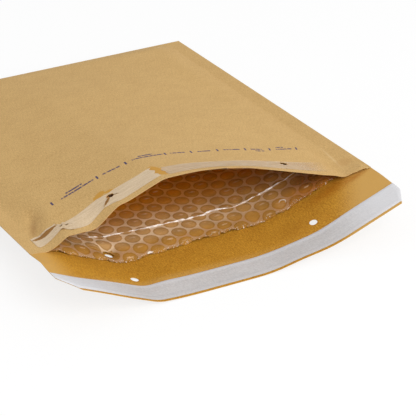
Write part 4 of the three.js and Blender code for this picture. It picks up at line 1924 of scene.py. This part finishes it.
@dataclass
class MouthTape:
    """The torn film tape across the front panel."""

    form: MailerForm
    holes: PunchedHoles
    effects: SharedEffects
    thickness: float = 0.12
    lift: float = 0.1
    step: float = 0.45
    rows: int = 36
    left_lower: tuple[Span, ...] = (
        (-111.5, 8.4), (-110.5, 7.0), (-104.0, 8.2), (-96.0, 10.2), (-94.6, 11.4), (-92.0, 9.4),
        (-89.5, 6.2), (-84.0, 5.2), (-78.0, 5.8), (-72.0, 7.4), (-66.0, 8.4), (-63.0, 6.6), (-58.0, 4.4),
        (-45.0, 5.0), (-31.0, 5.8), (-28.6, 6.2),
    )
    left_upper: tuple[Span, ...] = (
        (-111.5, 19.6), (-107.0, 21.6), (-100.0, 21.8), (-94.6, 20.4), (-93.4, 17.4), (-88.0, 17.4),
        (-81.0, 18.0), (-74.0, 19.4), (-66.0, 20.4), (-62.0, 19.6), (-59.0, 18.6), (-55.0, 19.6),
        (-45.0, 20.0), (-35.0, 20.8), (-28.6, 22.0),
    )
    right_span: Span = (-22.6, 100.0)
    right_edges: Span = (4.6, 18.8)
    right_step: float = 1.35
    tear_stops: int = 9
    tear_teeth: float = 1.4
    tear_reach: float = 5.0
    slits: tuple[Slit, ...] = (
        Slit((-110.5, 17.2), (-94.4, 18.6), 2.3),
        Slit((-59.5, 14.0), (-65.8, 9.0), 1.1),
        Slit((-57.5, 14.0), (-53.8, 12.2), 0.5),
        Slit((-94.2, 14.8), (-86.5, 12.4), 0.5),
    )
    curl: float = 0.3
    curl_reach: float = 1.6
    pucker: Triple = (-92.0, 3.6, 0.5)
    pucker_folds: Span = (2.1, 0.9)

    def grid(self, side: TapeSide) -> tuple[Array, Array]:
        """Give the tape part's places on the flat sheet.

        Args:
            side: Which part of the tape.

        Returns:
            Places across and along, as grids.
        """
        draw = np.random.default_rng(SEED + (side is TapeSide.LEFT))
        if side is TapeSide.LEFT:
            start, end = self.left_lower[0][0], self.left_lower[-1][0]
            lines = np.linspace(start, end, round((end - start) / self.step) + 1)
            lower = np.interp(lines, *zip(*self.left_lower))
            upper = np.interp(lines, *zip(*self.left_upper))
        else:
            start, end = self.right_span
            lines = np.linspace(start, end, round((end - start) / self.right_step) + 1)
            lower = np.full_like(lines, self.right_edges[0])
            upper = np.full_like(lines, self.right_edges[1])
        share = np.linspace(0.0, 1.0, self.rows + 1)[:, None]
        along = lower[None, :] * (1.0 - share) + upper[None, :] * share
        across = np.tile(lines, (self.rows + 1, 1))
        stops = np.linspace(0.0, 1.0, self.tear_stops)
        teeth = np.interp(share[:, 0], stops, draw.uniform(-self.tear_teeth, self.tear_teeth, len(stops)))
        away = np.abs(across - (end if side is TapeSide.LEFT else start))
        return across + teeth[:, None] * np.clip(1.0 - away / self.tear_reach, 0.0, 1.0), along

    def left_out(self, across: Array, along: Array) -> Array:
        """Tell which grid cells are torn or punched away.

        Args:
            across: Places across, as a grid.
            along: Places along, as a grid.

        Returns:
            True for each cell that is gone.
        """
        middle_across = (across[:-1, :-1] + across[1:, 1:]) / 2.0
        middle_along = (along[:-1, :-1] + along[1:, 1:]) / 2.0
        gone = np.zeros(middle_across.shape, bool)
        for slit in self.slits:
            gone |= slit.away(middle_across, middle_along) < 1.0
        for hole_across, hole_along in self.holes.places(self.holes.front):
            away = np.hypot(middle_across - hole_across, middle_along - hole_along)
            gone |= away < self.holes.diameter / 2.0
        return gone

    def lifted(self, across: Array, along: Array) -> Array:
        """Give how far the tape stands off the paper, more along its tears and where it puckers.

        Args:
            across: Places across the sheet.
            along: Places along the sheet.

        Returns:
            The height at each place.
        """
        height = np.full(across.shape, self.lift)
        for slit in self.slits:
            away = slit.away(across, along) * slit.half_width / self.curl_reach
            height += self.curl * np.exp(-away ** 2)
        middle, reach, rise = self.pucker
        folds = 1.0 + np.sin(across * self.pucker_folds[0] + along * self.pucker_folds[1])
        return height + rise * folds * np.exp(-((across - middle) / reach) ** 2)

    def build(self) -> None:
        """Build and dress both parts of the tape."""
        finishes = {
            # The clear tape's pale cover is painted reflection: nearly opaque on the left, faint on the
            # right.
            TapeSide.LEFT: StripFinish(
                "film_tape_left", colour(201, 174, 138), colour(217, 194, 161), (0.35, 0.55), stretch=9.0,
                cover=(0.92, 0.99), grain_share=0.75),
            TapeSide.RIGHT: StripFinish(
                "film_tape_right", colour(215, 186, 146), colour(228, 202, 165), (0.3, 0.5), stretch=12.0,
                cover=(0.38, 0.54), grain_share=0.7, fade=(66.0, 100.0)),
        }
        for side, finish in finishes.items():
            across, along = self.grid(side)
            under = self.form.front_top(across, along) + self.lifted(across, along)
            keep = ~self.left_out(across, along)
            mesh = closed_slab(self.form, across, along, under, under + self.thickness, keep)
            piece = mesh.to_object(f"{side.value}_film", [finish.material(self.effects)])
            hand_over(piece, "film_tape", side.value)


@dataclass
class Studio:
    """The floor, the lights and the camera at the photograph's angle."""

    azimuth: float = -27.6
    elevation: float = 29.2
    distance: float = 1.2
    lens: float = 161.95
    sensor: float = 36.0
    view_end: float = 50.0
    aim: Triple = (0.0224, -0.0725, 0.0)
    floor_size: float = 8.0
    floor_drop: float = 0.0002
    floor_white: float = 0.8
    floor_base: Colour = (0.93, 0.93, 0.93, 1.0)
    floor_roughness: float = 0.9
    floor_specular: float = 0.1
    white: Colour = (1.0, 1.0, 1.0, 1.0)
    sky_fill: float = 0.66
    key_power: float = 35.8
    key_size: float = 1.8
    key_place: Triple = (0.3, -1.8, 1.4)
    side_power: float = 5.4
    side_size: float = 0.8
    side_place: Triple = (1.3, -1.3, 0.55)

    def camera(self) -> None:
        """Set the camera where the photograph was taken from."""
        side, rise = math.radians(self.azimuth), math.radians(self.elevation)
        back = Vector((math.sin(side) * math.cos(rise), -math.cos(side) * math.cos(rise), math.sin(rise)))
        data = bpy.data.cameras.new("photo_camera")
        data.lens = self.lens
        data.sensor_width = self.sensor
        data.clip_end = self.view_end
        camera = linked("photo_camera", data)
        camera.location = Vector(self.aim) + back * self.distance
        camera.rotation_euler = (-back).to_track_quat("-Z", "Y").to_euler()
        bpy.context.scene.camera = camera

    def floor(self) -> None:
        """Lay a plain pale floor."""
        half = self.floor_size / 2.0
        mesh = bpy.data.meshes.new("floor")
        corners = [(-half, -half), (half, -half), (half, half), (-half, half)]
        mesh.from_pydata([(x, y, -self.floor_drop) for x, y in corners], [], [(0, 1, 2, 3)])
        made, pad, shader = start_material("floor_white")
        pad.fill(shader, {
            "Base Color": self.floor_base, "Roughness": self.floor_roughness,
            "Specular IOR Level": self.floor_specular,
        })
        path = pad.add("ShaderNodeLightPath").outputs
        seen = pad.times(path["Is Camera Ray"], self.floor_white)
        white = pad.add("ShaderNodeEmission", {"Color": self.white, "Strength": 1.0})
        both = pad.add("ShaderNodeMixShader", {0: seen, 1: shader.outputs[0], 2: white.outputs[0]})
        pad.feed(made.node_tree.nodes["Material Output"].inputs["Surface"], both.outputs[0])
        mesh.materials.append(made)
        floor = linked("floor", mesh)

    def lamp(self, name: str, place: Triple, size: float, power: float) -> None:
        """Set one soft lamp that faces the mailer.

        Args:
            name: The lamp's name.
            place: Where it stands.
            size: The length of its square face's sides.
            power: Its power in watts.
        """
        data = bpy.data.lights.new(name, "AREA")
        data.shape = "SQUARE"
        data.size = size
        data.energy = power
        lamp = linked(name, data)
        lamp.location = place
        lamp.rotation_euler = (-Vector(place)).to_track_quat("-Z", "Y").to_euler()

    def lights(self) -> None:
        """Set a soft key light above, a weak one at the side and an even white surround."""
        self.lamp("key_light", self.key_place, self.key_size, self.key_power)
        self.lamp("side_light", self.side_place, self.side_size, self.side_power)
        world = bpy.data.worlds.new("studio_white")
        bpy.context.scene.world = world
        world.use_nodes = True
        pad = NodePad(world.node_tree)
        background = world.node_tree.nodes["Background"]
        path = pad.add("ShaderNodeLightPath").outputs
        seen = pad.most(path["Is Camera Ray"], path["Is Glossy Ray"], path["Is Transmission Ray"])
        level = pad.scaled(seen, 1.0 - self.sky_fill, self.sky_fill)
        pad.fill(background, {"Color": self.white, "Strength": level})

    def build(self) -> None:
        """Set up the whole stage."""
        bpy.context.scene.view_settings.view_transform = "Standard"
        self.camera()
        self.floor()
        self.lights()
        LOG.info("stage: camera, floor and lights")


def main() -> None:
    """Build the mailer's pieces in order and set the stage."""
    logging.basicConfig(level=logging.INFO, format="%(name)s %(message)s")
    form = MailerForm()
    holes = PunchedHoles()
    effects = SharedEffects()
    Studio().build()
    KraftSheet(form, holes, effects).build()
    BubbleLiner(form, holes, effects).build()
    ClosingStrip(form, effects).build()
    MouthTape(form, holes, effects).build()


if __name__ == "__main__":
    main()
